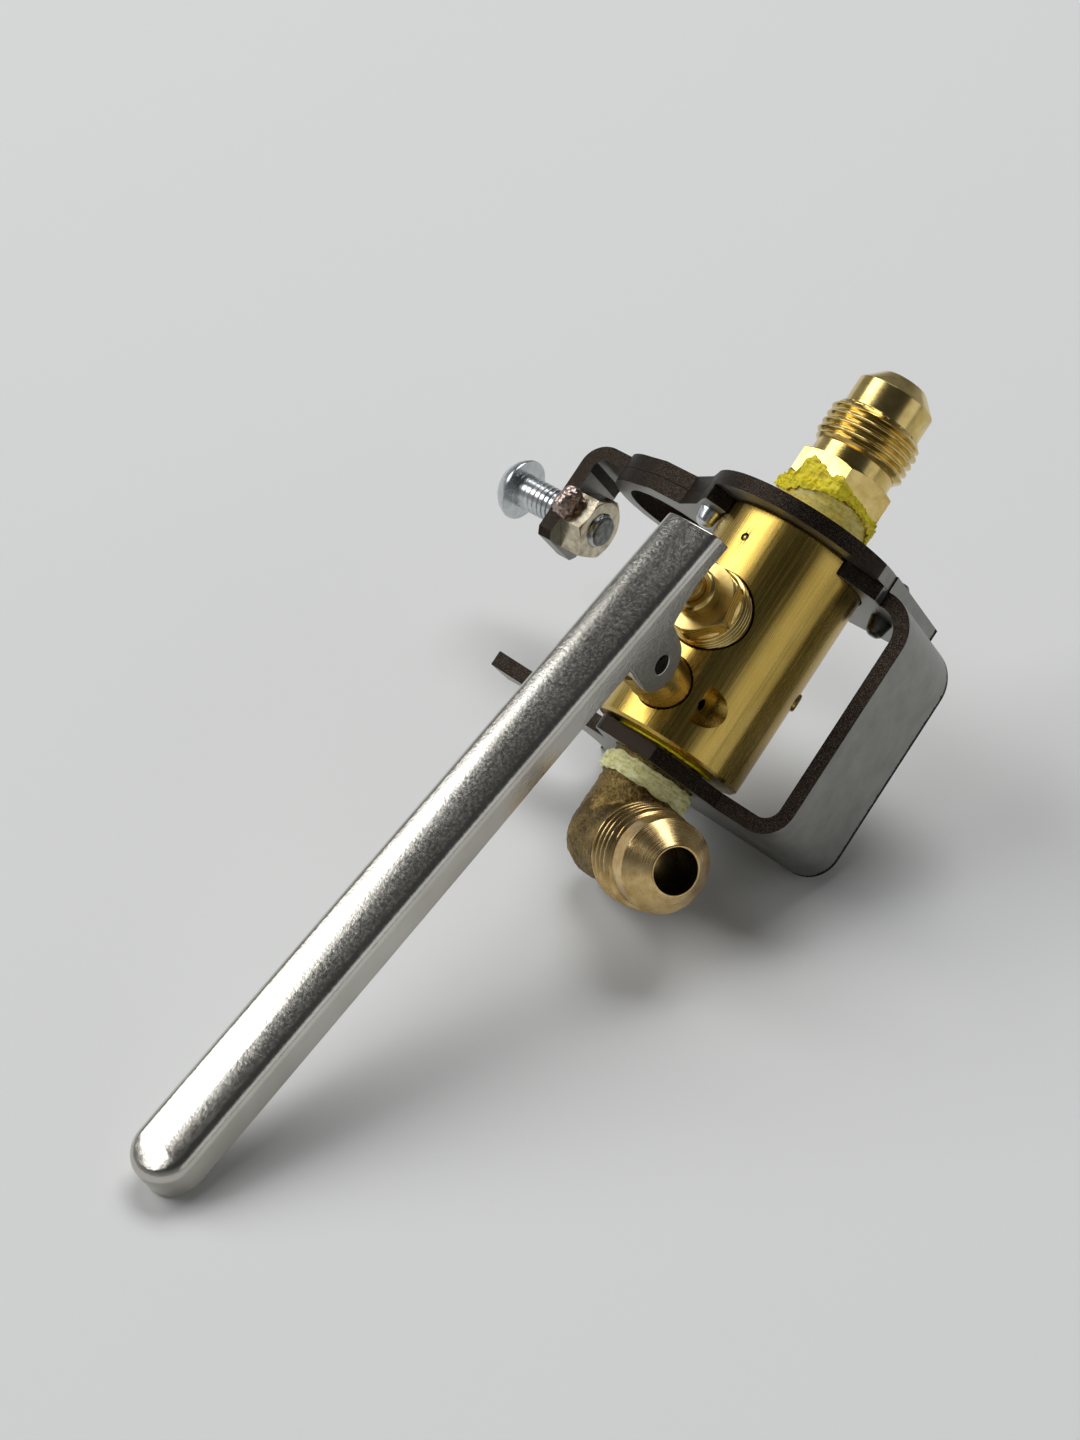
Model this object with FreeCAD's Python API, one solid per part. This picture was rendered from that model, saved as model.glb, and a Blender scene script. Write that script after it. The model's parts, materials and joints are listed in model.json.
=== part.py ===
import FreeCAD, Part
import math
import os

# A squeeze valve for gas: a bar-stock brass body with a flare fitting on each end, a long pressed
# lever on a fulcrum post, and a bent steel bracket that clamps the valve to a round tube.
# All sizes are millimetres. Every piece is drawn with the valve's axis on Z, the lever at the
# front (-Y) and the body's upper face at z = 0. At the end the whole valve is laid on the table.

# Sheet steel of the bracket and the top plate
SHEET = 2.66

# Body, turned from one inch brass bar
BODY_R = 12.7
BODY_LENGTH = 38.6
BODY_CHAMFER = 0.5

# Pipe threads that screw into the body, and the clearance that stands in for the thread
PIPE_R = 6.85
PIPE_DEPTH = 10.5
PIPE_CHAMFER = 0.6
PIPE_HOLE_EXTRA = 0.5
THREAD_GAP = 0.05
INLET_TAPE_R = PIPE_R + 1.45
OUTLET_TAPE_R = PIPE_R + 0.65
TAPE_GAP = 0.05

# Valve chamber, drilled from the front at the height of the stem
STEM_Z = -17.8
NUT_THREAD_R = 6.35
NUT_THREAD_DEPTH = 4.7
CHAMBER_R = 5.0
CHAMBER_DEPTH = 15.7
PASSAGE_R = 1.8
PASSAGE_SETBACK = 3.0
SIDE_PASSAGE_Y = 6.6

# Seat, stem and spring
SEAT_THICK = 2.0
SEAT_BORE_R = 2.0
SEAT_LIP_R = 2.9
SEAT_LIP = 0.6
SEAL_R = 3.5
SEAL_THICK = 1.4
SEAL_GAP = 0.05
POPPET_R = 4.3
POPPET_THICK = 2.0
STEM_R = 2.4
RUNNING_GAP = 0.05
NECK_R = 1.2
NECK_ROOM = 1.1
STEM_HEAD_R = 1.9
STEM_HEAD_THICK = 0.8
SPRING_WIRE_R = 0.4
SPRING_TURNS = 4
SPRING_MEAN_R = 3.4
SPRING_END_GAP = 0.05
SPRING_STEPS = 16
SPRING_SIDES = 6

# Packing nut
NUT_COLLAR = 1.9
HEX_AF = 11.11
NUT_HEX = 3.5
NUT_HEX_TURN = -19.0
NUT_BOSS_R = 3.7
NUT_BOSS = 3.0
WASHER_THICK = 0.8
PACKING_THICK = 2.4
PACKING_R = 4.6

# Fulcrum post with its lock pin, and the pocket milled for the pin's hole
POST_Z = -30.9
POST_R = 4.4
POST_DEPTH = 5.1
POST_SHOULDER = 6.4
TANG_GAP = 0.1
TANG_END_R = 4.0
PIVOT_Y = -24.3
PIVOT_Z = -30.6
PIVOT_R = 1.5
POCKET_R = 3.2
POCKET_X = 6.35
POCKET_Y = 1.6 - BODY_R
LOCK_PIN_R = 0.9
LOCK_PIN_Y = 2.6 - BODY_R
LOCK_PIN_HOLE = 12.0
LOCK_PIN_LENGTH = 10.0

# Lever: a pressed channel, open towards the body
LEVER_ANGLE = 13.0
LEVER_TOP_Y = -31.6
LEVER_TOP_Z = -10.8
LEVER_LENGTH = 122.5
LEVER_WIDTH = 10.0
LEVER_WALL = 1.5
LEVER_CROWN_R = 14.0
LEVER_EDGE_R = 1.9
LEVER_TOP_DEPTH = 4.7
LEVER_GRIP_DEPTH = 6.6
LEVER_GRIP_START = 60.0
LEVER_END = 0.6
LEVER_END_SLANT = 1.5
EAR_R = 4.6
EAR_SLOPE_TOP = 6.5
EAR_ROOT_DEPTH = 7.0
EAR_FOOT = 23.0
EAR_FOOT_DEPTH = 6.2
YOKE_THICK = 1.2
YOKE_SUNK = 0.1
YOKE_TOP = 2.9
YOKE_FOOT = 10.0
YOKE_SLOT = 3.0

# Flare threads of both ends, with the smooth nose and the cone that follow them
FLARE_R = 7.94
THREAD_CHAMFER = 0.5
NOSE_STEP = 0.4
FLARE_BORE_R = 3.6
FLARE_THREAD = 6.8
FLARE_TIP_R = 3.9

# Inlet flare fitting on the body's axis; heights are measured from the body's upper face
INLET_HEX_AF = 15.875
INLET_HEX_Z = 8.0
INLET_TAPE_TOP = INLET_HEX_Z - TAPE_GAP
INLET_HEX = 5.4
INLET_SHOULDER_R = 6.9
INLET_THREAD_Z = 16.0
INLET_NOSE_R = 6.65
INLET_NOSE = 5.0

# Bracket: a strap bent into a U behind the body
WALL_X = 21.7
UPPER_BEND_R = 4.5
LOWER_BEND_R = 2.6
LEG_INNER_Z = -1.5 - BODY_LENGTH
LEG_TOE_IN = 2.29
LEG_END_X = -36.2
LEG_HOLE_R = PIPE_R + 0.3

# Nose of the lower leg, round the elbow's neck
LEG_NOSE_Y = -8.3
LEG_NOSE_FOOT_X = -11.0
LEG_NOSE_X = -9.0
LEG_NOSE_CORNER = 1.5
LEG_NOSE_RIGHT_X = 3.0
LEG_NOSE_SLOPE_X = 12.0

# Outlet elbow below the body and the bracket's lower leg
OUTLET_TAPE = 3.8
OUTLET_TAPE_RISE = 0.46
OUTLET_TAPE_TOP = LEG_INNER_Z - SHEET + OUTLET_TAPE_RISE
OUTLET_TAPE_FOOT = OUTLET_TAPE_TOP - OUTLET_TAPE
ELBOW_DROP = 8.6
ELBOW_Z = OUTLET_TAPE_FOOT - ELBOW_DROP
ELBOW_AZIMUTH = 56.2
ELBOW_R = 6.5
ELBOW_THREAD_START = 10.0
OUTLET_NOSE_R = 7.3
OUTLET_NOSE = 3.1

# Plan of the plate and of the bracket's upper leg
PLATE_BAND = 4.23
PLATE_R = BODY_R + PLATE_BAND
PLATE_RIGHT = 17.2
STRAP_FRONT = 0.5
STRAP_BACK = 22.4
EYE_X = -29.5
EYE_Y = 14.9
EYE_R = 9.8
EYE_RING_R = 12.9
EYE_CORNER_ANGLE = 237.0
FAIRING_ANGLE = 31.5
FAIRING_FOOT_X = -23.0
FAIRING_X = -17.1
FAIRING_Y = -5.0
PLATE_HOLE_R = PIPE_R + 0.85
TINE_LEFT_ANGLE = 44.5
TINE_RIGHT_ANGLE = 44.7
TINE_RIGHT_INSET = 0.6
TINE_END_OUT = 0.4
TINE_END_Y = -0.7
COLLAR_GAP = 0.2

# Clamp: the plate's tab, a nut welded inside it and the screw through both
TAB_WIDTH = 11.0
TAB_X = -49.3
TAB_FOOT_Z = -16.2
TAB_BEND_R = 1.8
TAB_CORNER = 1.2
SCREW_Z = -9.9
SCREW_R = 3.0
SCREW_HOLE_GAP = 0.25
SCREW_LENGTH = 18.4
SCREW_TIP_X = -41.1
SCREW_HEAD_R = 5.4
SCREW_HEAD = 3.3
SCREW_SOCKET_AF = 4.0
CLAMP_NUT_AF = 10.0
CLAMP_NUT_THICK = 4.6
CLAMP_NUT_TURN = -7.0
WELD_R = 2.1
WELD_ANGLE = 5.0
WELD_REACH = 6.0
WELD_CENTRE = -0.1

# Rivets that hold the plate to the bracket's upper leg
RIVET_R = 1.5
RIVET_HEAD_R = 1.95
RIVET_HEAD = 2.9
RIVET_LEFT_ANGLE = 202.4
RIVET_LEFT_R = BODY_R + RIVET_HEAD_R + 0.06
RIVET_PLACES = (
    (RIVET_LEFT_R * math.cos(math.radians(RIVET_LEFT_ANGLE)),
     RIVET_LEFT_R * math.sin(math.radians(RIVET_LEFT_ANGLE))),
    (14.2, 9.6),
)

# Small plugs in drilled passages
PLUG_AZIMUTH = 118.1
PLUG_Z = -21.15
PLUG_R = 1.55
PLUG_LENGTH = 5.0
PLUG_PROUD = 0.5
BALL_AZIMUTH = -9.0
BALL_Z = -5.4
BALL_R = 0.55
BALL_DEPTH = 1.2

# Roughly the direction that faces up when the valve lies on a table, on the lever's tip and the
# back corners of the bracket's lower leg
LYING_UP = (0.03, -0.77, 0.64)

X_AXIS = FreeCAD.Vector(1, 0, 0)
Y_AXIS = FreeCAD.Vector(0, 1, 0)
Z_AXIS = FreeCAD.Vector(0, 0, 1)
FRONT = FreeCAD.Vector(0, -1, 0)
FAR = 200.0


def vec(x, y, z):
    return FreeCAD.Vector(x, y, z)


def azimuth_direction(degrees):
    """A level direction, turned from the front towards +X."""
    angle = math.radians(degrees)
    return vec(math.sin(angle), -math.cos(angle), 0)


def on_axis(shape, base, axis):
    """Move a shape drawn along +Z to a base point and an axis direction."""
    moved = shape.copy()
    moved.Placement = FreeCAD.Placement(base, FreeCAD.Rotation(Z_AXIS, axis))
    return moved


def rod(radius, length, base, axis=Z_AXIS):
    return Part.makeCylinder(radius, length, base, axis)


def turned(steps, base, axis):
    """A lathe-turned solid. Steps are (radius, distance along the axis) corners."""
    corners = [vec(0, 0, steps[0][1])]
    corners += [vec(radius, 0, height) for radius, height in steps]
    corners.append(vec(0, 0, steps[-1][1]))
    profile = Part.Face(Part.makePolygon(corners + corners[:1]))
    return on_axis(profile.revolve(vec(0, 0, 0), Z_AXIS, 360), base, axis)


def hexagon(across_flats, length, turn=0.0):
    """A hexagonal bar along +Z with a corner at the given turn from +X."""
    corner = across_flats / math.sqrt(3)
    points = []
    for step in range(6):
        angle = math.radians(60 * step + turn)
        points.append(vec(corner * math.cos(angle), corner * math.sin(angle), 0))
    return Part.Face(Part.makePolygon(points + points[:1])).extrude(vec(0, 0, length))


def chamfered_hexagon(across_flats, length, turn=0.0, both_ends=False):
    """A hexagon whose corners are turned down by a cone at its far end, or at both ends."""
    corner = across_flats / math.sqrt(3)
    low = (corner - across_flats / 2) * 0.6
    start_r = across_flats / 2 if both_ends else corner
    start = low if both_ends else 0.001
    cone = turned([(start_r, 0), (corner, start), (corner, length - low), (across_flats / 2, length)],
                  vec(0, 0, 0), Z_AXIS)
    return hexagon(across_flats, length, turn).common(cone)


def prism_xy(points, low, high):
    face = Part.Face(Part.makePolygon([vec(x, y, low) for x, y in points + points[:1]]))
    return face.extrude(vec(0, 0, high - low))


def fused(first, *others):
    return first.multiFuse(list(others)).removeSplitter()


def rounded_path(points, radii):
    """Edges of a path in the XZ plane through the points, with an arc at each inner corner."""
    edges = []
    start = points[0]
    for corner, after, radius in zip(points[1:-1], points[2:], radii):
        into = (corner - start).normalize()
        out = (after - corner).normalize()
        half_turn = into.getAngle(out) / 2
        reach = radius * math.tan(half_turn)
        arc_in = corner - into * reach
        arc_out = corner + out * reach
        towards_centre = (out - into).normalize()
        middle = corner + towards_centre * (radius / math.cos(half_turn) - radius)
        edges.append(Part.makeLine(start, arc_in))
        edges.append(Part.Arc(arc_in, middle, arc_out).toShape())
        start = arc_out
    edges.append(Part.makeLine(start, points[-1]))
    return edges


def bent_sheet(inner, bend_radii, side):
    """Sheet whose inner face follows the path, bent with the given inner radii.

    side is +1 where the sheet lies to the left of the path, seen from the front.
    """
    outer = []
    count = len(inner)
    for index, point in enumerate(inner):
        before = inner[max(index - 1, 0)]
        after = inner[min(index + 1, count - 1)]
        if index == 0:
            into = (after - point).normalize()
        else:
            into = (point - before).normalize()
        if index == count - 1:
            out = into
        else:
            out = (after - point).normalize()
        normal_in = vec(-into.z, 0, into.x) * side
        normal_out = vec(-out.z, 0, out.x) * side
        mitre = (normal_in + normal_out).normalize()
        outer.append(point + mitre * (SHEET / mitre.dot(normal_in)))
    inner_edges = rounded_path(inner, bend_radii)
    outer_edges = rounded_path(outer, [radius + SHEET for radius in bend_radii])
    ends = [Part.makeLine(inner[0], outer[0]), Part.makeLine(inner[-1], outer[-1])]
    outline = Part.Wire(Part.__sortEdges__(inner_edges + outer_edges + ends))
    face = Part.Face(outline)
    face.translate(vec(0, -FAR / 2, 0))
    return face.extrude(vec(0, FAR, 0))


def collar_plan(low, high):
    """The shared outline of the plate and the upper leg: collar, strip and eye ring."""
    collar = rod(PLATE_R, high - low, vec(0, 0, low))
    strip = prism_xy([(EYE_X, STRAP_FRONT), (PLATE_RIGHT, STRAP_FRONT),
                      (PLATE_RIGHT, STRAP_BACK), (EYE_X, STRAP_BACK)], low, high)
    corner_angle = math.radians(FAIRING_ANGLE)
    kink = (-PLATE_R * math.cos(corner_angle), -PLATE_R * math.sin(corner_angle))
    fairing = prism_xy([(FAIRING_FOOT_X, STRAP_FRONT), (FAIRING_X, FAIRING_Y), kink, (0, 0),
                        (-BODY_R, STRAP_FRONT)], low, high)
    ring_angle = math.radians(EYE_CORNER_ANGLE)
    ring_corner = (EYE_X + EYE_RING_R * math.cos(ring_angle), EYE_Y + EYE_RING_R * math.sin(ring_angle))
    shoulder = prism_xy([(EYE_X, STRAP_FRONT), ring_corner, (EYE_X, EYE_Y)], low, high)
    ring = rod(EYE_RING_R, high - low, vec(EYE_X, EYE_Y, low))
    plan = fused(collar, strip, fairing, shoulder, ring)
    return plan.cut(rod(EYE_R, high - low, vec(EYE_X, EYE_Y, low)))


def rivet_holes(shape, low):
    holes = [rod(RIVET_R + THREAD_GAP, 2 * SHEET, vec(x, y, low)) for x, y in RIVET_PLACES]
    return shape.cut(holes)


def valve_body():
    """Brass bar with its two pipe threads, the valve chamber and the drillings between them."""
    edge = BODY_R - BODY_CHAMFER
    body = turned([(edge, -BODY_LENGTH), (BODY_R, BODY_CHAMFER - BODY_LENGTH),
                   (BODY_R, -BODY_CHAMFER), (edge, 0)], vec(0, 0, 0), Z_AXIS)
    front = vec(0, -BODY_R, STEM_Z)
    inlet_end = -PIPE_DEPTH - PIPE_HOLE_EXTRA
    passage_y = -BODY_R + NUT_THREAD_DEPTH + PASSAGE_R + PASSAGE_SETBACK
    outlet_top = -BODY_LENGTH + PIPE_DEPTH + 3 * PIPE_HOLE_EXTRA
    seat_back = CHAMBER_DEPTH + SEAT_THICK
    post_hole = rod(POST_R + THREAD_GAP, POST_DEPTH, vec(0, -BODY_R + POST_DEPTH, POST_Z), FRONT)
    plug_axis = azimuth_direction(PLUG_AZIMUTH)
    cuts = [
        rod(PIPE_R + THREAD_GAP, -inlet_end, vec(0, 0, inlet_end)),
        rod(PASSAGE_R, inlet_end - STEM_Z, vec(0, passage_y, STEM_Z)),
        rod(NUT_THREAD_R + THREAD_GAP, NUT_THREAD_DEPTH + 1, front + vec(0, -1, 0), Y_AXIS),
        rod(CHAMBER_R, CHAMBER_DEPTH, front, Y_AXIS),
        rod(CHAMBER_R + THREAD_GAP, SEAT_THICK, front + vec(0, CHAMBER_DEPTH, 0), Y_AXIS),
        rod(SEAT_BORE_R, SIDE_PASSAGE_Y + BODY_R - seat_back, front + vec(0, seat_back, 0), Y_AXIS),
        rod(PASSAGE_R, STEM_Z - outlet_top, vec(0, SIDE_PASSAGE_Y, outlet_top)),
        rod(PIPE_R + THREAD_GAP, outlet_top + BODY_LENGTH, vec(0, 0, -BODY_LENGTH)),
        post_hole,
        post_hole.translated(FRONT * POST_DEPTH),
        rod(POCKET_R, BODY_R, vec(POCKET_X, POCKET_Y, POST_Z), X_AXIS),
        rod(LOCK_PIN_R + THREAD_GAP, LOCK_PIN_HOLE,
            vec(POCKET_X - LOCK_PIN_HOLE, LOCK_PIN_Y, POST_Z), X_AXIS),
        rod(PLUG_R + THREAD_GAP, BODY_R - CHAMBER_R / 2,
            plug_axis * (CHAMBER_R / 2) + vec(0, 0, PLUG_Z), plug_axis),
        rod(BALL_R + THREAD_GAP, 2 * BALL_DEPTH,
            azimuth_direction(BALL_AZIMUTH) * (BODY_R - BALL_DEPTH) + vec(0, 0, BALL_Z),
            azimuth_direction(BALL_AZIMUTH)),
    ]
    return body.cut(cuts)


def top_plate():
    """Flat plate over the body with the tube's eye and, past the eye, the tab bent down."""
    tab_inner = TAB_X + SHEET
    path = [vec(PLATE_RIGHT + 1, 0, 0), vec(tab_inner, 0, 0), vec(tab_inner, 0, TAB_FOOT_Z)]
    sheet = bent_sheet(path, [TAB_BEND_R], -1)
    half = TAB_WIDTH / 2
    foot = prism_xy([(TAB_X - 1, EYE_Y - half), (EYE_X - EYE_R, EYE_Y - half),
                     (EYE_X - EYE_R, EYE_Y + half), (TAB_X - 1, EYE_Y + half)],
                    TAB_FOOT_Z, SHEET)
    plan = fused(collar_plan(0, SHEET), foot).cut(rod(EYE_R, SHEET, vec(EYE_X, EYE_Y, 0)))
    plate = sheet.common(plan)
    corners = []
    for side in (-1, 1):
        y = EYE_Y + side * half
        points = [vec(TAB_X - 1, y, TAB_FOOT_Z), vec(TAB_X - 1, y - side * TAB_CORNER, TAB_FOOT_Z),
                  vec(TAB_X - 1, y, TAB_FOOT_Z + TAB_CORNER)]
        corners.append(Part.Face(Part.makePolygon(points + points[:1])).extrude(vec(SHEET + 2, 0, 0)))
    screw_hole = rod(SCREW_R + SCREW_HOLE_GAP, SHEET + 2, vec(TAB_X - 1, EYE_Y, SCREW_Z), X_AXIS)
    fitting_hole = rod(PLATE_HOLE_R, SHEET, vec(0, 0, 0))
    return rivet_holes(plate.cut(corners + [screw_hole, fitting_hole]), -SHEET)


def strap_bracket():
    """Strap bent into a U: an upper leg under the plate, a side wall and a lower leg."""
    slope = math.tan(math.radians(LEG_TOE_IN))
    left = EYE_X - EYE_RING_R - 1
    path = [vec(left, 0, -SHEET), vec(WALL_X, 0, -SHEET), vec(WALL_X, 0, LEG_INNER_Z),
            vec(left, 0, LEG_INNER_Z + (WALL_X - left) * slope)]
    sheet = bent_sheet(path, [UPPER_BEND_R, LOWER_BEND_R], 1)
    low = LEG_INNER_Z - 2 * SHEET
    wall = prism_xy([(PLATE_RIGHT - 0.01, STRAP_FRONT), (WALL_X + SHEET + 1, STRAP_FRONT),
                     (WALL_X + SHEET + 1, STRAP_BACK), (PLATE_RIGHT - 0.01, STRAP_BACK)], low, 0)
    upper = collar_plan(-SHEET, 0)
    upper = upper.cut([rod(BODY_R + COLLAR_GAP, SHEET, vec(0, 0, -SHEET)), front_opening()])
    middle = (LEG_INNER_Z - SHEET) / 2
    lower = lower_leg_plan(low, middle)
    return rivet_holes(sheet.common(fused(upper, wall, lower)), -SHEET)


def front_opening():
    """What is cut from the upper leg between its two tines."""
    left = azimuth_direction(-TINE_LEFT_ANGLE) * 2 * PLATE_R
    right = azimuth_direction(TINE_RIGHT_ANGLE) * (BODY_R - TINE_RIGHT_INSET)
    points = [(0, 0), (left.x, left.y), (2 * PLATE_R, -2 * PLATE_R), (2 * PLATE_R, TINE_END_Y),
              (PLATE_RIGHT + TINE_END_OUT, TINE_END_Y), (right.x, right.y)]
    return prism_xy(points, -SHEET, 0)


def lower_leg_plan(low, high):
    """Strip with a nose round the elbow's neck and a notch for the tube at its far end."""
    strip = prism_xy([(LEG_END_X, STRAP_FRONT), (PLATE_RIGHT, STRAP_FRONT),
                      (PLATE_RIGHT, STRAP_BACK), (LEG_END_X, STRAP_BACK)], low, high)
    nose = prism_xy([(LEG_NOSE_FOOT_X, STRAP_FRONT), (LEG_NOSE_X, LEG_NOSE_Y + LEG_NOSE_CORNER),
                     (LEG_NOSE_X + LEG_NOSE_CORNER, LEG_NOSE_Y), (LEG_NOSE_RIGHT_X, LEG_NOSE_Y),
                     (LEG_NOSE_SLOPE_X, STRAP_FRONT), (LEG_NOSE_SLOPE_X, STRAP_BACK / 2),
                     (LEG_NOSE_FOOT_X, STRAP_BACK / 2)], low, high)
    notch = rod(EYE_R, high - low, vec(EYE_X, EYE_Y, low))
    tail = prism_xy([(LEG_END_X - 1, EYE_Y), (EYE_X, EYE_Y), (EYE_X, STRAP_BACK + 1),
                     (LEG_END_X - 1, STRAP_BACK + 1)], low, high)
    neck_hole = rod(LEG_HOLE_R, high - low, vec(0, 0, low))
    return fused(strip, nose).cut([notch, tail, neck_hole])


def plate_rivets():
    """Steel rivets through the plate and the upper leg, with a domed end on each side."""
    rivets = []
    top_head = RIVET_HEAD / 2
    for x, y in RIVET_PLACES:
        steps = [(RIVET_R * 0.5, -SHEET - RIVET_HEAD), (RIVET_R, -SHEET - RIVET_HEAD * 0.8),
                 (RIVET_HEAD_R, -SHEET), (RIVET_R, -SHEET), (RIVET_R, SHEET), (RIVET_HEAD_R, SHEET),
                 (RIVET_R * 0.5, SHEET + top_head)]
        rivets.append(turned(steps, vec(x, y, 0), Z_AXIS))
    return Part.makeCompound(rivets)


def tape_ring(radius, low, high):
    """Sealing tape wound round a pipe thread, squeezed out as a soft ring."""
    ring = rod(radius, high - low, vec(0, 0, low))
    return ring.cut(rod(PIPE_R + THREAD_GAP, high - low, vec(0, 0, low)))


def inlet_fitting():
    """Male flare fitting: pipe thread in the body, hexagon, flare thread, nose and cone."""
    thread_end = INLET_THREAD_Z + FLARE_THREAD
    nose_end = thread_end + INLET_NOSE
    tip = nose_end + INLET_NOSE_R - FLARE_TIP_R
    steps = [(PIPE_R - PIPE_CHAMFER, -PIPE_DEPTH), (PIPE_R, PIPE_CHAMFER - PIPE_DEPTH),
             (PIPE_R, INLET_HEX_Z + INLET_HEX / 2), (INLET_SHOULDER_R, INLET_HEX_Z + INLET_HEX / 2),
             (INLET_SHOULDER_R, INLET_THREAD_Z), (FLARE_R - THREAD_CHAMFER, INLET_THREAD_Z),
             (FLARE_R, INLET_THREAD_Z + THREAD_CHAMFER), (FLARE_R, thread_end),
             (INLET_NOSE_R, thread_end + NOSE_STEP), (INLET_NOSE_R, nose_end), (FLARE_TIP_R, tip)]
    stem = turned(steps, vec(0, 0, 0), Z_AXIS)
    grip = on_axis(chamfered_hexagon(INLET_HEX_AF, INLET_HEX, 0, True), vec(0, 0, INLET_HEX_Z), Z_AXIS)
    bore = rod(FLARE_BORE_R, tip + PIPE_DEPTH, vec(0, 0, -PIPE_DEPTH))
    return fused(stem, grip).cut(bore)


def outlet_elbow():
    """Forged elbow: pipe thread up into the body, a round knuckle and a flare end to one side."""
    side = azimuth_direction(ELBOW_AZIMUTH)
    centre = vec(0, 0, ELBOW_Z)
    pipe_top = -BODY_LENGTH + PIPE_DEPTH
    neck_foot = OUTLET_TAPE_FOOT
    neck = turned([(ELBOW_R, ELBOW_Z), (ELBOW_R, neck_foot), (PIPE_R, neck_foot),
                   (PIPE_R, pipe_top - PIPE_CHAMFER), (PIPE_R - PIPE_CHAMFER, pipe_top)],
                  vec(0, 0, 0), Z_AXIS)
    thread_end = ELBOW_THREAD_START + FLARE_THREAD
    nose_end = thread_end + NOSE_STEP + OUTLET_NOSE
    tip = nose_end + OUTLET_NOSE_R - FLARE_TIP_R
    arm = turned([(ELBOW_R, 0), (ELBOW_R, ELBOW_THREAD_START),
                  (FLARE_R - THREAD_CHAMFER, ELBOW_THREAD_START),
                  (FLARE_R, ELBOW_THREAD_START + THREAD_CHAMFER), (FLARE_R, thread_end),
                  (OUTLET_NOSE_R, thread_end + NOSE_STEP), (OUTLET_NOSE_R, nose_end),
                  (FLARE_TIP_R, tip)], centre, side)
    knuckle = Part.makeSphere(ELBOW_R, centre)
    bore_side = rod(FLARE_BORE_R, tip + FLARE_BORE_R, centre - side * FLARE_BORE_R, side)
    bore_up = rod(FLARE_BORE_R, pipe_top - ELBOW_Z, centre)
    return fused(neck, arm, knuckle).cut([bore_side, bore_up])


def packing_nut():
    """Hexagon nut that screws into the body and holds the stem's packing."""
    inner = -NUT_THREAD_DEPTH + WASHER_THICK
    hex_start = NUT_COLLAR
    hex_end = hex_start + NUT_HEX
    boss_end = hex_end + NUT_BOSS
    steps = [(NUT_THREAD_R - 0.3, inner), (NUT_THREAD_R, inner + 0.3), (NUT_THREAD_R, hex_start + 0.1),
             (NUT_BOSS_R, hex_end - 0.1), (NUT_BOSS_R, boss_end - 0.5), (NUT_BOSS_R - 0.5, boss_end)]
    front = vec(0, -BODY_R, STEM_Z)
    nut = turned(steps, front, FRONT)
    grip = chamfered_hexagon(HEX_AF, NUT_HEX, 0)
    grip = on_axis(grip, front + FRONT * hex_start, FRONT)
    grip.rotate(front, FRONT, NUT_HEX_TURN)
    packing_room = rod(PACKING_R + THREAD_GAP, PACKING_THICK, front + FRONT * inner, FRONT)
    bore = rod(STEM_R + RUNNING_GAP, boss_end - inner, front + FRONT * inner, FRONT)
    return fused(nut, grip).cut([packing_room, bore])


def packing_washer():
    """Flat washer at the bottom of the thread, a stop for the closing spring."""
    base = vec(0, -BODY_R + NUT_THREAD_DEPTH, STEM_Z)
    disc = rod(NUT_THREAD_R - 0.1, WASHER_THICK, base, FRONT)
    return disc.cut(rod(STEM_R + 0.3, WASHER_THICK, base, FRONT))


def stem_packing():
    """Packing ring squeezed round the stem."""
    base = vec(0, -BODY_R + NUT_THREAD_DEPTH - WASHER_THICK, STEM_Z)
    disc = rod(PACKING_R, PACKING_THICK, base, FRONT)
    return disc.cut(rod(STEM_R + RUNNING_GAP, PACKING_THICK, base, FRONT))


def seat_face_y():
    return -BODY_R + CHAMBER_DEPTH - SEAT_LIP


def valve_seat():
    """Ring pressed into the bottom of the chamber, with a raised lip for the seal."""
    steps = [(CHAMBER_R, 0), (CHAMBER_R, SEAT_THICK), (SEAT_LIP_R, SEAT_THICK),
             (SEAT_LIP_R - 0.3, SEAT_THICK + SEAT_LIP)]
    base = vec(0, -BODY_R + CHAMBER_DEPTH + SEAT_THICK, STEM_Z)
    return turned(steps, base, FRONT).cut(rod(SEAT_BORE_R, FAR, base, FRONT))


def poppet_back_y():
    return seat_face_y() - SEAL_GAP - SEAL_THICK


def seal_disc():
    """Rubber disc on the poppet's face."""
    return rod(SEAL_R, SEAL_THICK, vec(0, poppet_back_y() + SEAL_THICK, STEM_Z), FRONT)


def lever_point(across, along, depth):
    """A point given in the lever's own directions: across, down its length, towards the body."""
    angle = math.radians(LEVER_ANGLE)
    y = LEVER_TOP_Y - along * math.sin(angle) + depth * math.cos(angle)
    z = LEVER_TOP_Z - along * math.cos(angle) - depth * math.sin(angle)
    return vec(across, y, z)


def lever_place(point):
    """Along and depth in the lever's own directions of a point in the valve's frame."""
    angle = math.radians(LEVER_ANGLE)
    dy = point.y - LEVER_TOP_Y
    dz = point.z - LEVER_TOP_Z
    along = -dy * math.sin(angle) - dz * math.cos(angle)
    depth = dy * math.cos(angle) - dz * math.sin(angle)
    return along, depth


def stem_y_at_depth(depth):
    """Where the stem's axis crosses a given depth of the lever's channel."""
    angle = math.radians(LEVER_ANGLE)
    return LEVER_TOP_Y + (depth + (STEM_Z - LEVER_TOP_Z) * math.sin(angle)) / math.cos(angle)


def yoke_outer_depth():
    return LEVER_TOP_DEPTH + YOKE_SUNK - YOKE_THICK


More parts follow.
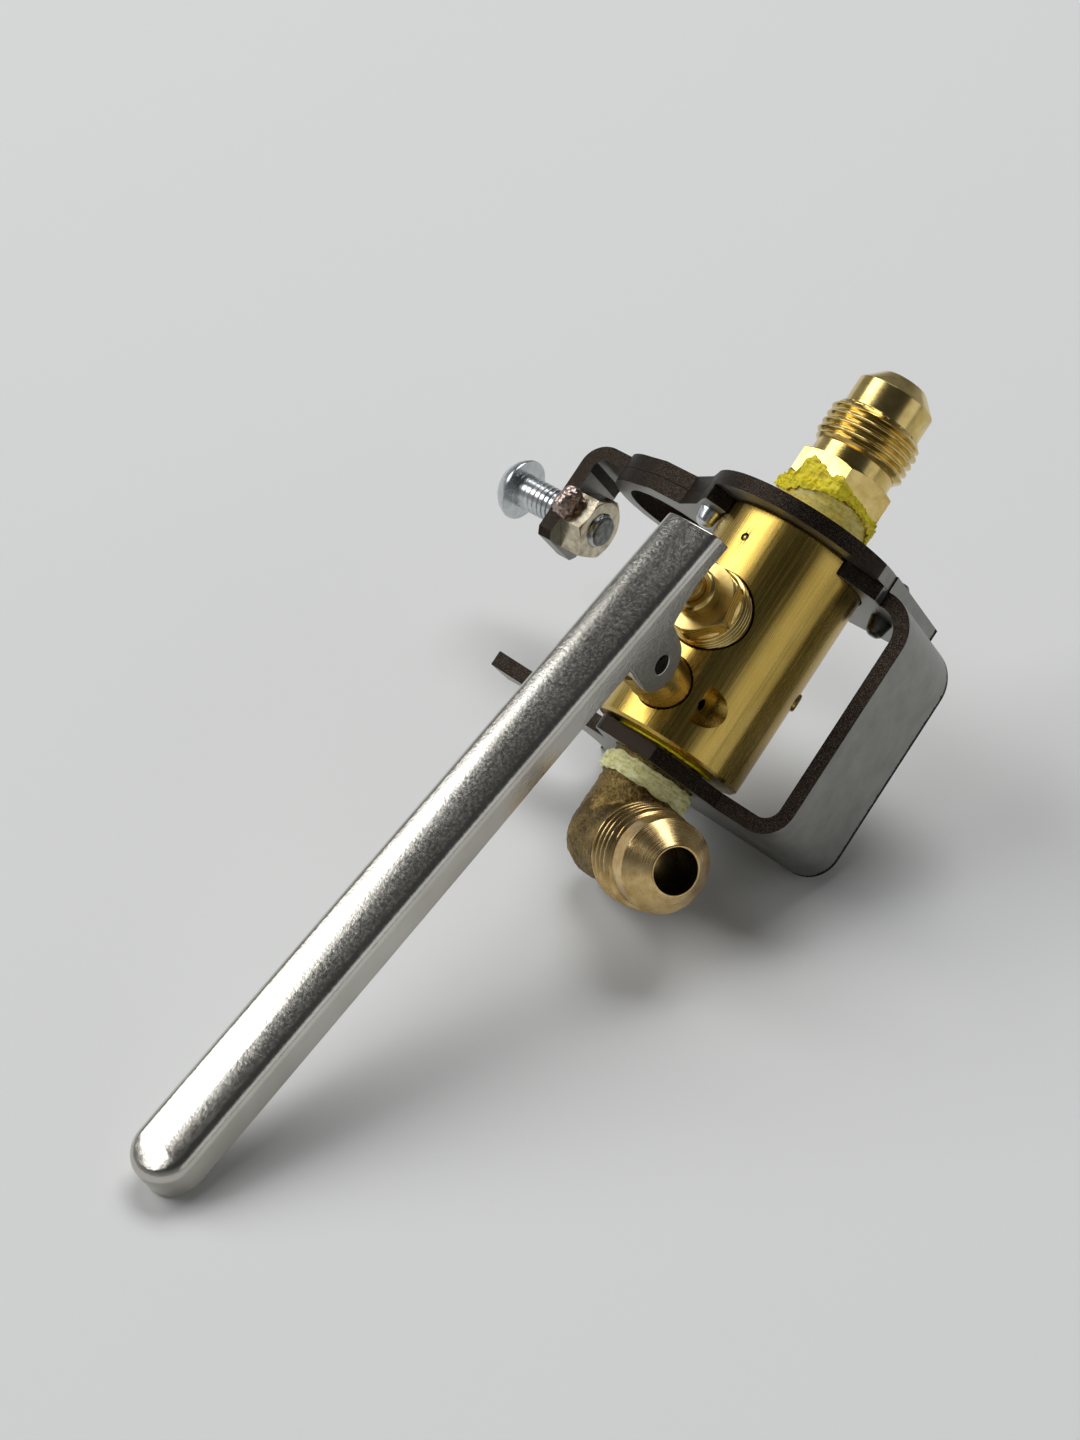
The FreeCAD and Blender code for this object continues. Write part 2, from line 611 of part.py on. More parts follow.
def stem():
    """Stem with the poppet on its inner end, and a neck and head that the lever's yoke pulls."""
    head_middle = stem_y_at_depth((LEVER_WALL + yoke_outer_depth()) / 2)
    outer_end = head_middle - STEM_HEAD_THICK / 2
    neck_end = stem_y_at_depth(yoke_outer_depth() + YOKE_THICK) + NECK_ROOM
    base = vec(0, poppet_back_y(), STEM_Z)
    total = poppet_back_y() - outer_end
    neck_start = poppet_back_y() - neck_end
    steps = [(POPPET_R, 0), (POPPET_R, POPPET_THICK), (STEM_R, POPPET_THICK), (STEM_R, neck_start),
             (NECK_R, neck_start), (NECK_R, total - STEM_HEAD_THICK),
             (STEM_HEAD_R, total - STEM_HEAD_THICK), (STEM_HEAD_R, total)]
    return turned(steps, base, FRONT)


def closing_spring():
    """Coil spring between the washer and the poppet, its wire drawn as a chain of short prisms."""
    start = poppet_back_y() - POPPET_THICK - SPRING_WIRE_R - SPRING_END_GAP
    end = -BODY_R + NUT_THREAD_DEPTH + SPRING_WIRE_R + SPRING_END_GAP
    steps = SPRING_TURNS * SPRING_STEPS
    rings = []
    for step in range(steps + 1):
        turn = 2 * math.pi * step / SPRING_STEPS
        ring = []
        for side in range(SPRING_SIDES):
            angle = 2 * math.pi * side / SPRING_SIDES
            radius = SPRING_MEAN_R + SPRING_WIRE_R * math.cos(angle)
            height = (start - end) * step / steps + SPRING_WIRE_R * math.sin(angle)
            ring.append(vec(radius * math.cos(turn), radius * math.sin(turn), height))
        rings.append(ring)
    faces = [Part.Face(Part.makePolygon(ring + ring[:1])) for ring in (rings[0], rings[-1])]
    for ring, following in zip(rings, rings[1:]):
        for side in range(SPRING_SIDES):
            beside = (side + 1) % SPRING_SIDES
            corners = ring[side], ring[beside], following[beside], following[side]
            faces.append(Part.Face(Part.makePolygon([corners[0], corners[1], corners[2], corners[0]])))
            faces.append(Part.Face(Part.makePolygon([corners[0], corners[2], corners[3], corners[0]])))
    coil = Part.Solid(Part.Shell(faces))
    return on_axis(coil, vec(0, start, STEM_Z), FRONT)


def fulcrum_post():
    """Brass post pressed into the body, flattened at its outer end between the lever's ears."""
    inner = -BODY_R + POST_DEPTH
    shoulder = -BODY_R - POST_SHOULDER
    outer = PIVOT_Y - TANG_END_R
    post = rod(POST_R, inner - PIVOT_Y, vec(0, inner, POST_Z), FRONT)
    end = rod(TANG_END_R, 2 * POST_R, vec(-POST_R, PIVOT_Y, PIVOT_Z), X_AXIS)
    post = fused(post, end.common(rod(POST_R, inner - outer + 1, vec(0, inner, POST_Z), FRONT)))
    flats = []
    half_tang = LEVER_WIDTH / 2 - LEVER_WALL - TANG_GAP
    for side in (-1, 1):
        low = min(side * half_tang, side * 2 * POST_R)
        flats.append(Part.makeBox(2 * POST_R - half_tang, shoulder - outer + 2, 4 * POST_R,
                                  vec(low, outer - 2, POST_Z - 2 * POST_R)))
    pivot_hole = rod(PIVOT_R + RUNNING_GAP, 4 * POST_R, vec(-2 * POST_R, PIVOT_Y, PIVOT_Z), X_AXIS)
    lock_hole = rod(LOCK_PIN_R + THREAD_GAP, 4 * POST_R, vec(-2 * POST_R, LOCK_PIN_Y, POST_Z), X_AXIS)
    return post.cut(flats + [pivot_hole, lock_hole])


def post_lock_pin():
    """Pin driven through the body and the post, sunk below the end wall of the milled pocket."""
    start = vec(POCKET_X - LOCK_PIN_HOLE + THREAD_GAP, LOCK_PIN_Y, POST_Z)
    return rod(LOCK_PIN_R, LOCK_PIN_LENGTH, start, X_AXIS)


def pivot_pin():
    """Pin through both ears and the post's tang."""
    half = LEVER_WIDTH / 2
    steps = [(PIVOT_R - 0.3, -half), (PIVOT_R, -half + 0.3), (PIVOT_R, half - 0.3), (PIVOT_R - 0.3, half)]
    return turned(steps, vec(0, PIVOT_Y, PIVOT_Z), X_AXIS)


def channel_blank(wall, length, deep):
    """The lever's section, from its outer face inwards by wall, drawn along and round its tip."""
    crown_r = LEVER_CROWN_R - wall
    edge_r = LEVER_EDGE_R - wall
    half = LEVER_WIDTH / 2 - wall
    angle = math.asin((half - edge_r) / (crown_r - edge_r))
    corner = vec((crown_r - edge_r) * math.sin(angle), 0, crown_r - (crown_r - edge_r) * math.cos(angle))
    join = vec(crown_r * math.sin(angle), 0, crown_r * (1 - math.cos(angle)))
    mid_crown = vec(crown_r * math.sin(angle / 2), 0, crown_r * (1 - math.cos(angle / 2)))
    turn = (math.pi / 2 + angle) / 2
    mid_edge = corner + vec(edge_r * math.sin(turn), 0, -edge_r * math.cos(turn))
    top = vec(0, 0, 0)
    edges = [
        Part.Arc(top, mid_crown, join).toShape(),
        Part.Arc(join, mid_edge, vec(half, 0, corner.z)).toShape(),
        Part.makeLine(vec(half, 0, corner.z), vec(half, 0, deep)),
        Part.makeLine(vec(half, 0, deep), vec(0, 0, deep)),
        Part.makeLine(vec(0, 0, deep), top),
    ]
    section = Part.Face(Part.Wire(edges))
    section.translate(vec(0, 0, wall))
    straight = length - LEVER_WIDTH / 2
    right = section.translated(vec(0, -half, 0)).extrude(vec(0, straight + half, 0))
    left = right.mirror(vec(0, 0, 0), X_AXIS)
    tip = section.translated(vec(0, straight, 0)).revolve(vec(0, straight, 0), Z_AXIS, 180)
    return fused(right, left, tip)


def lever_side():
    """Side view of the lever: slanted upper end, ear round the pivot, deeper walls at the grip."""
    ear_along, ear_depth = lever_place(vec(0, PIVOT_Y, PIVOT_Z))
    ear_centre = vec(0, ear_along, ear_depth)
    ear_root = vec(0, ear_along - EAR_R, EAR_ROOT_DEPTH)
    ear_foot = vec(0, EAR_FOOT, EAR_FOOT_DEPTH)
    to_foot = ear_foot - ear_centre
    tangent = math.atan2(to_foot.z, to_foot.y) + math.acos(EAR_R / to_foot.Length)
    past_tip = LEVER_LENGTH + EAR_R
    outline = [vec(0, LEVER_END, -1), vec(0, LEVER_END - LEVER_END_SLANT, LEVER_TOP_DEPTH),
               vec(0, EAR_SLOPE_TOP, LEVER_TOP_DEPTH), ear_root, vec(0, ear_root.y, ear_depth),
               ear_centre + vec(0, EAR_R * math.cos(tangent), EAR_R * math.sin(tangent)),
               ear_foot, vec(0, LEVER_GRIP_START, LEVER_GRIP_DEPTH),
               vec(0, past_tip, LEVER_GRIP_DEPTH), vec(0, past_tip, -1)]
    channel = Part.Face(Part.makePolygon(outline + outline[:1]))
    width = vec(LEVER_WIDTH + 2, 0, 0)
    start = vec(-width.x / 2, 0, 0)
    ear = rod(EAR_R, width.x, ear_centre + start, X_AXIS)
    side = fused(channel.translated(start).extrude(width), ear)
    return side.cut(rod(PIVOT_R + THREAD_GAP / 2, width.x, ear_centre + start, X_AXIS))


def lever_placed(shape):
    """Move a shape from the lever's own axes (across, along, depth) into the valve's frame."""
    moved = shape.copy()
    moved.Placement = FreeCAD.Placement(lever_point(0, 0, 0),
                                        FreeCAD.Rotation(X_AXIS, -90 - LEVER_ANGLE))
    return moved


def lever():
    """Pressed channel lever with a closed round tip and two ears."""
    deep = 5 * EAR_R
    outer = channel_blank(0.0, LEVER_LENGTH, deep)
    inner = channel_blank(LEVER_WALL, LEVER_LENGTH, deep + 1)
    return lever_placed(outer.cut(inner).common(lever_side()))


def stem_yoke():
    """Slotted plate welded across the channel; it pulls the stem by its head."""
    half = LEVER_WIDTH / 2 - LEVER_WALL
    low = yoke_outer_depth()
    plate = Part.makeBox(2 * half, YOKE_FOOT - YOKE_TOP, YOKE_THICK, vec(-half, YOKE_TOP, low))
    crossing = lever_place(vec(0, stem_y_at_depth(low + YOKE_THICK / 2), STEM_Z))[0]
    slot_r = YOKE_SLOT / 2
    slot_end = crossing + slot_r - NECK_R
    slot = Part.makeBox(YOKE_SLOT, slot_end - YOKE_TOP + 1, YOKE_THICK, vec(-slot_r, YOKE_TOP - 1, low))
    round_end = rod(slot_r, YOKE_THICK, vec(0, slot_end, low))
    return lever_placed(plate.cut([slot, round_end]))


def clamp_nut():
    """Hexagon nut welded to the inner face of the tab."""
    nut = chamfered_hexagon(CLAMP_NUT_AF, CLAMP_NUT_THICK)
    nut = nut.cut(rod(SCREW_R + THREAD_GAP, CLAMP_NUT_THICK, vec(0, 0, 0)))
    base = vec(TAB_X + SHEET, EYE_Y, SCREW_Z)
    nut = on_axis(nut, base, X_AXIS)
    nut.rotate(base, X_AXIS, CLAMP_NUT_TURN)
    return nut


def nut_weld():
    """Weld bead on the upper front edge of the nut, run out over the edge of the tab."""
    angle = math.radians(WELD_ANGLE)
    tab_face = TAB_X + SHEET
    centre = vec(tab_face + WELD_CENTRE, EYE_Y - WELD_REACH * math.cos(angle),
                 SCREW_Z + WELD_REACH * math.sin(angle))
    ridge = vec(0, -math.sin(angle), -math.cos(angle))
    steps = [(WELD_R * 0.55, -WELD_R * 1.3), (WELD_R * 0.92, -WELD_R * 0.75), (WELD_R, 0),
             (WELD_R * 0.92, WELD_R * 0.75), (WELD_R * 0.55, WELD_R * 1.3)]
    bead = turned(steps, centre, ridge)
    half = TAB_WIDTH / 2
    tab_room = Part.makeBox(SHEET, TAB_WIDTH, FAR, vec(TAB_X, EYE_Y - half, -FAR / 2))
    nut_room = on_axis(hexagon(CLAMP_NUT_AF, CLAMP_NUT_THICK), vec(tab_face, EYE_Y, SCREW_Z), X_AXIS)
    nut_room.rotate(vec(0, EYE_Y, SCREW_Z), X_AXIS, CLAMP_NUT_TURN)
    return bead.cut([tab_room, nut_room])


def clamp_screw():
    """Button-head screw through the tab and the nut; its tip presses on the tube."""
    head = SCREW_LENGTH
    steps = [(SCREW_R - 0.6, 0), (SCREW_R, 0.6), (SCREW_R, head), (SCREW_HEAD_R, head),
             (SCREW_HEAD_R, head + 0.5), (SCREW_HEAD_R * 0.9, head + SCREW_HEAD * 0.5),
             (SCREW_HEAD_R * 0.72, head + SCREW_HEAD * 0.82), (SCREW_HEAD_R * 0.52, head + SCREW_HEAD)]
    tip = vec(SCREW_TIP_X, EYE_Y, SCREW_Z)
    screw = turned(steps, tip, X_AXIS * -1)
    socket = on_axis(hexagon(SCREW_SOCKET_AF, SCREW_HEAD), tip - X_AXIS * (head + SCREW_HEAD * 0.35),
                     X_AXIS * -1)
    return screw.cut(socket)


def passage_plug():
    """Brass plug in the drilling at the back of the body."""
    axis = azimuth_direction(PLUG_AZIMUTH)
    steps = [(PLUG_R, BODY_R - PLUG_LENGTH), (PLUG_R, BODY_R + PLUG_PROUD * 0.6),
             (PLUG_R - 0.3, BODY_R + PLUG_PROUD)]
    return turned(steps, vec(0, 0, PLUG_Z), axis)


def ball_plug():
    """Small ball staked into a drilling near the top of the body, drawn as a pin with a domed end."""
    steps = [(BALL_R, BODY_R - BALL_DEPTH), (BALL_R, BODY_R - BALL_R * 0.4),
             (BALL_R * 0.5, BODY_R + BALL_R * 0.1)]
    return turned(steps, vec(0, 0, BALL_Z), azimuth_direction(BALL_AZIMUTH))


def build_pieces():
    return {
        "valve_body": valve_body(),
        "top_plate": top_plate(),
        "strap_bracket": strap_bracket(),
        "plate_rivets": plate_rivets(),
        "inlet_fitting": inlet_fitting(),
        "inlet_tape": tape_ring(INLET_TAPE_R, SHEET + TAPE_GAP, INLET_TAPE_TOP),
        "outlet_elbow": outlet_elbow(),
        "outlet_tape": tape_ring(OUTLET_TAPE_R, OUTLET_TAPE_FOOT, OUTLET_TAPE_TOP),
        "packing_nut": packing_nut(),
        "packing_washer": packing_washer(),
        "stem_packing": stem_packing(),
        "valve_seat": valve_seat(),
        "stem": stem(),
        "seal_disc": seal_disc(),
        "closing_spring": closing_spring(),
        "fulcrum_post": fulcrum_post(),
        "post_lock_pin": post_lock_pin(),
        "pivot_pin": pivot_pin(),
        "lever": lever(),
        "stem_yoke": stem_yoke(),
        "clamp_nut": clamp_nut(),
        "nut_weld": nut_weld(),
        "clamp_screw": clamp_screw(),
        "passage_plug": passage_plug(),
        "ball_plug": ball_plug(),
    }


def lying_up(pieces):
    """The upward direction when the lever's tip and two corners of the lower leg carry the valve."""
    lever_points = pieces["lever"].tessellate(0.02)[0]
    strap_points = pieces["strap_bracket"].tessellate(0.02)[0]
    right_points = [point for point in strap_points if point.x > 0]
    left_points = [point for point in strap_points if point.x < 0]
    up = vec(*LYING_UP)
    for step in range(4):
        tip, right, left = [lowest(points, up) for points in (lever_points, right_points, left_points)]
        up = (left - right).cross(tip - right).normalize()
    return up


def lowest(points, up):
    return min(points, key=lambda point: point.dot(up))


def lying_placement(pieces):
    """Placement that lays the valve on z = 0, its length along X, centred on the origin."""
    up = lying_up(pieces)
    length = (Z_AXIS - up * Z_AXIS.dot(up)).normalize()
    across = up.cross(length)
    turn = FreeCAD.Rotation(length, across, up, "ZXY").inverted()
    laid = Part.makeCompound(list(pieces.values()))
    laid.Placement = FreeCAD.Placement(vec(0, 0, 0), turn)
    box = laid.optimalBoundingBox()
    shift = vec(-(box.XMin + box.XMax) / 2, -(box.YMin + box.YMax) / 2, -box.ZMin)
    return FreeCAD.Placement(shift, turn)


PIECES = build_pieces()
LYING = lying_placement(PIECES)

os.makedirs("parts", exist_ok=True)
for name, shape in PIECES.items():
    laid = shape.copy()
    laid.Placement = LYING.multiply(laid.Placement)
    laid.exportStep("parts/" + name + ".step")
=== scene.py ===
import json
import math

import bmesh
import bpy
from mathutils import Matrix, Vector, noise

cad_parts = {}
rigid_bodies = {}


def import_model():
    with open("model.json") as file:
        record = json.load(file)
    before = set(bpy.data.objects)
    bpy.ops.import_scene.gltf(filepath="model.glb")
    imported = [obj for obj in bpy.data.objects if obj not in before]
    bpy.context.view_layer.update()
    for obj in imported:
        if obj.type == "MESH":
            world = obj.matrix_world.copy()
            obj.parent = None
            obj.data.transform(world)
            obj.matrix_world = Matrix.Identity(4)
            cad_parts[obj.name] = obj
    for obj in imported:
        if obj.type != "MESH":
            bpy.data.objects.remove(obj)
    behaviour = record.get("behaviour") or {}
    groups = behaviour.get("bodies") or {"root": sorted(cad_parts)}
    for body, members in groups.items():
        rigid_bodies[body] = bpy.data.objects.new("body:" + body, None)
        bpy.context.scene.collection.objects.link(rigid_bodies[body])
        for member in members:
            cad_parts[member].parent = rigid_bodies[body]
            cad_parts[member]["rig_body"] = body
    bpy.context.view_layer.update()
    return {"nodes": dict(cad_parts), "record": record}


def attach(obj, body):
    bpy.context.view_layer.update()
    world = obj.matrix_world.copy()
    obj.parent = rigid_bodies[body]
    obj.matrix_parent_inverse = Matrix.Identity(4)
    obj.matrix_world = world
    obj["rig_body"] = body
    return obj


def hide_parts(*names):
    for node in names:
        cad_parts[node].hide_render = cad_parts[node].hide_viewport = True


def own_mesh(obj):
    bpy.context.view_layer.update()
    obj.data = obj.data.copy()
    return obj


# A brass squeeze valve with its steel clamp bracket, lying on a sheet of pale paper.
# Sizes are millimetres in the valve's own axes: Z up the body to the inlet, the lever at the
# front (-Y), zero at the body's upper face. LAID turns them to the table.

MM = 0.001

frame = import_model()
nodes = frame["nodes"]
mounts = {mount["name"]: mount for mount in frame["record"]["mounts"]}

# Places and sizes on the valve, the same as in the CAD
INLET_MOUNT_Z = 19.65
ELBOW_Z = -54.7
ELBOW_AZIMUTH = 56.2
STEM_Z = -17.8
BODY_R = 12.7
BODY_FOOT = -38.6
PIPE_R = 6.85
PLATE_TOP = 2.66
STRAP_BACK = 22.4
INLET_HEX_Z = 8.0
INLET_HEX_AF = 15.875
OUTLET_TAPE = (-46.1, -42.3)
POST_Z = -30.9
POST_R = 4.4
BALL_X = -1.99
BALL_Z = -5.4
BALL_R = 0.55

# Screw threads: outer radius, depth and pitch, then where each lies along its axis.
# Both flare threads are 5/8-18.
PACKING_THREAD_R = 6.35
SCREW_R = 3.0
FLARE_FORM = (7.94, 0.82, 25.4 / 18)
PACKING_FORM = (PACKING_THREAD_R, 0.45, 0.8)
SCREW_FORM = (SCREW_R, 0.58, 1.0)
INLET_THREAD = (16.0, 22.8)
OUTLET_THREAD = (10.0, 16.8)
PACKING_THREAD = (-3.7, 2.0)
SCREW_THREAD = (0.0, 18.4)
THREAD_SIDES = 64
ROWS_A_TURN = 12

# A core is drawn in to just under its thread's root. The inlet's goes on over the step to its
# nose, and the screw's stops short of its head.
ROOT_ROOM = 0.02
ZONE_SLACK = 0.05
NOSE_STEP = 0.4
END_MARGIN = 0.1
INLET_CORE = (INLET_THREAD[0], INLET_THREAD[1] + NOSE_STEP - END_MARGIN)
SCREW_CORE = (SCREW_THREAD[0], SCREW_THREAD[1] - END_MARGIN)

# Stretches with another finish, along their axes, and their radii: painted shade inside the bores
# and the lock hole, dull zinc on the right rivet and the screw's end
INLET_BORE = (-20.0, 30.0)
OUTLET_BORE = (-5.0, 30.0)
FLARE_BORE_R = 3.6
LOCK_HOLE = (0.0, 12.0)
LOCK_HOLE_R = 1.0
RIGHT_RIVET = (-9.0, 9.0)
RIGHT_RIVET_R = 4.0
SCREW_END = (-0.5, 0.3)

# Borders between the steel's finishes: just under the upper leg, which lies flat on the plate,
# and before its bend down to the side wall. The burr is on the far edge beyond that bend.
LEG_UNDERSIDE = -2.8
LEG_FLAT_END = 16.5
BURR_WIDTH = 0.45

# Painted shade: a dark ring in the gap where a round part meets the body's front: height, radius,
# width, place across
GAP_SHADE = "2A1208"
GAP_SHADE_RINGS = (
    (STEM_Z, PACKING_THREAD_R, 0.3, 0.0),
    (POST_Z, POST_R, 0.22, 0.0),
    (BALL_Z, BALL_R, 0.14, BALL_X),
)

# Meshes: places that are one point, areas that are one flat, edges that stay sharp
MERGE_GAP = 0.002
FLAT_ANGLE = 0.5
SHARP_ANGLE = 32
THREAD_ANGLE = 50
ROUGH_ANGLE = 60


def laid_matrix():
    """The valve's own axes on the table, found from the places of the two flare ends."""
    up_axis = Vector(mounts["inlet_flare"]["axis"]).normalized()
    side_axis = Vector(mounts["outlet_flare"]["axis"]).normalized()
    beside = up_axis.cross(side_axis)
    turn = math.radians(ELBOW_AZIMUTH)
    x_axis = side_axis * math.sin(turn) + beside * math.cos(turn)
    x_axis = (x_axis - up_axis * x_axis.dot(up_axis)).normalized()
    y_axis = up_axis.cross(x_axis)
    origin = Vector(mounts["inlet_flare"]["pos_m"]) - up_axis * INLET_MOUNT_Z * MM
    laid = Matrix((x_axis, y_axis, up_axis)).transposed().to_4x4()
    return Matrix.Translation(origin) @ laid @ Matrix.Scale(MM, 4)


LAID = laid_matrix()
TURN = LAID.to_3x3().normalized()


def axis_frame(base, direction):
    """Matrix that stands a shape drawn along +Z in millimetres at a base point on the valve."""
    z_axis = Vector(direction).normalized()
    x_axis = Vector((0, 0, 1)) if abs(z_axis.z) < 0.9 else Vector((1, 0, 0))
    x_axis = (x_axis - z_axis * x_axis.dot(z_axis)).normalized()
    y_axis = z_axis.cross(x_axis)
    stand = Matrix((x_axis, y_axis, z_axis)).transposed().to_4x4()
    return LAID @ Matrix.Translation(Vector(base)) @ stand


INLET_AXIS = axis_frame((0, 0, 0), (0, 0, 1))
OUTLET_SIDE = (math.sin(math.radians(ELBOW_AZIMUTH)), -math.cos(math.radians(ELBOW_AZIMUTH)), 0)
OUTLET_AXIS = axis_frame((0, 0, ELBOW_Z), OUTLET_SIDE)
PACKING_AXIS = axis_frame((0, -BODY_R, STEM_Z), (0, -1, 0))
SCREW_AXIS = axis_frame((-41.1, 14.9, -9.9), (-1, 0, 0))
LOCK_HOLE_AXIS = axis_frame((-5.65, -10.1, POST_Z), (1, 0, 0))
RIGHT_RIVET_AXIS = axis_frame((14.2, 9.6, 0), (0, 0, 1))


# Materials

def colour(text):
    """Linear colour of an sRGB hex value."""
    channels = []
    for start in (0, 2, 4):
        value = int(text[start:start + 2], 16) / 255
        channels.append(value / 12.92 if value <= 0.04045 else ((value + 0.055) / 1.055) ** 2.4)
    return (*channels, 1.0)


def add(tree, kind, inputs=None, **settings):
    """Add a node with its settings; inputs hold values or the sockets to link from."""
    node = tree.nodes.new(kind)
    for name, value in settings.items():
        setattr(node, name, value)
    for name, value in (inputs or {}).items():
        if isinstance(value, bpy.types.NodeSocket):
            tree.links.new(value, node.inputs[name])
        else:
            node.inputs[name].default_value = value
    return node


def new_material(name, metallic, roughness, base="808080"):
    material = bpy.data.materials.new(name)
    material.use_nodes = True
    tree = material.node_tree
    shader = tree.nodes["Principled BSDF"]
    shader.inputs["Metallic"].default_value = metallic
    shader.inputs["Roughness"].default_value = roughness
    shader.inputs["Base Color"].default_value = colour(base)
    return material, tree, shader


def valve_place(tree):
    """The point's place in the valve's own axes, in millimetres."""
    place = add(tree, "ShaderNodeTexCoord").outputs["Object"]
    into = LAID.inverted()
    node = add(tree, "ShaderNodeMapping", {"Vector": place}, vector_type="POINT")
    node.inputs["Location"].default_value = into.to_translation()
    node.inputs["Rotation"].default_value = TURN.inverted().to_euler()
    node.inputs["Scale"].default_value = (1 / MM, 1 / MM, 1 / MM)
    return node.outputs[0]


def maths(tree, operation, first, second=0.0, third=0.0):
    inputs = {0: first, 1: second, 2: third}
    return add(tree, "ShaderNodeMath", inputs, operation=operation).outputs[0]


def mixed(tree, share, first, second):
    """Mix of two colours or shades."""
    inputs = {0: share, 6: first, 7: second}
    return add(tree, "ShaderNodeMix", inputs, data_type="RGBA").outputs[2]


def blended(tree, share, first, second):
    """Mix of two values."""
    inputs = {0: share, 2: first, 3: second}
    return add(tree, "ShaderNodeMix", inputs, data_type="FLOAT").outputs[0]


def grain(tree, density, detail=3.0, roughness=0.6):
    """Noise in the valve's own axes. Its density in 1/mm is one for all axes or one for each."""
    spread = density if isinstance(density, tuple) else (density, density, density)
    place = add(tree, "ShaderNodeVectorMath", {0: valve_place(tree), 1: spread},
                operation="MULTIPLY").outputs[0]
    return add(tree, "ShaderNodeTexNoise", {"Vector": place, "Scale": 1.0, "Detail": detail,
                                            "Roughness": roughness}).outputs[0]


def ramp(tree, factor, stops):
    """Colours from hex values, or shades from numbers, over a pattern."""
    node = add(tree, "ShaderNodeValToRGB", {0: factor})
    elements = node.color_ramp.elements
    while len(elements) < len(stops):
        elements.new(0.5)
    for element, (position, shade) in zip(elements, stops):
        element.position = position
        element.color = colour(shade) if isinstance(shade, str) else (shade, shade, shade, 1)
    return node.outputs[0]


def tint(tree, shader, factor, *stops):
    tree.links.new(ramp(tree, factor, stops), shader.inputs["Base Color"])


def gloss(tree, shader, factor, *stops):
    tree.links.new(ramp(tree, factor, stops), shader.inputs["Roughness"])


def bump(tree, shader, height, distance, strength):
    node = add(tree, "ShaderNodeBump", {"Height": height, "Distance": distance * MM,
                                        "Strength": strength})
    tree.links.new(node.outputs[0], shader.inputs["Normal"])


def ring_line(tree, place, height, inner, width, across):
    """1 between two radii round an axis on the body's front, for a dark line there."""
    split = add(tree, "ShaderNodeSeparateXYZ", {0: place}).outputs
    off = maths(tree, "SUBTRACT", split[2], height)
    aside = maths(tree, "SUBTRACT", split[0], across)
    squares = maths(tree, "MULTIPLY_ADD", off, off, maths(tree, "MULTIPLY", aside, aside))
    reach = maths(tree, "SQRT", squares)
    inside = maths(tree, "MULTIPLY", maths(tree, "GREATER_THAN", reach, inner),
                   maths(tree, "LESS_THAN", reach, inner + width))
    return maths(tree, "MULTIPLY", inside, maths(tree, "LESS_THAN", split[1], 0.0))


def drawn_brass():
    """Cold drawn brass bar: long die streaks, and painted shade in the gaps round what is fitted in
    it.
    """
    material, tree, shader = new_material("drawn brass bar", 1.0, 0.3)
    streaks = grain(tree, (3.6, 3.6, 0.05), 5.0, 0.75)
    clouds = grain(tree, (0.12, 0.12, 0.06), 2.0)
    metal = ramp(tree, blended(tree, 0.4, streaks, clouds),
                 ((0.3, "A38742"), (0.48, "C2A352"), (0.68, "DBC074")))
    place = valve_place(tree)
    # painted shade: dark rings in the gaps round the packing nut, the post and the ball plug
    rings = [ring_line(tree, place, *ring) for ring in GAP_SHADE_RINGS]
    gap_shade = rings[0]
    for ring in rings[1:]:
        gap_shade = maths(tree, "MAXIMUM", gap_shade, ring)
    tree.links.new(mixed(tree, gap_shade, metal, colour(GAP_SHADE)), shader.inputs["Base Color"])
    gloss(tree, shader, streaks, (0.3, 0.18), (0.7, 0.34))
    bump(tree, shader, streaks, 0.009, 0.5)
    return material


def turned_brass(name, axis, dark, light, low, high):
    """Brass turned on a lathe: feed lines round its axis, over faint tarnish clouds."""
    material, tree, shader = new_material(name, 1.0, low)
    tint(tree, shader, grain(tree, 0.35), (0.34, dark), (0.62, light))
    along = add(tree, "ShaderNodeVectorMath", {0: valve_place(tree), 1: axis},
                operation="DOT_PRODUCT").outputs["Value"]
    feed = add(tree, "ShaderNodeTexNoise", {"W": along, "Scale": 7.0, "Detail": 3.0},
               noise_dimensions="1D").outputs[0]
    gloss(tree, shader, feed, (0.35, low), (0.65, high))
    bump(tree, shader, feed, 0.008, 0.5)
    return material


def shaded_bore_paint():
    """Inside of a bore or hole: painted shade, dark as a deep hole looks."""
    material, tree, shader = new_material("bore painted shade", 1.0, 0.5)
    tint(tree, shader, grain(tree, 1.2), (0.4, "14100A"), (0.65, "3C3019"))
    return material


def forged_brass():
    """Hot forged brass as it leaves the die and the pickling bath: dull, brown and grainy."""
    material, tree, shader = new_material("forged brass", 1.0, 0.5)
    specks = grain(tree, 2.6, 4.0, 0.7)
    patches = grain(tree, 0.25)
    tint(tree, shader, blended(tree, 0.4, specks, patches),
         (0.38, "3A2F1A"), (0.5, "75623A"), (0.64, "B0955E"))
    gloss(tree, shader, specks, (0.3, 0.42), (0.7, 0.62))
    bump(tree, shader, specks, 0.12, 0.7)
    return material


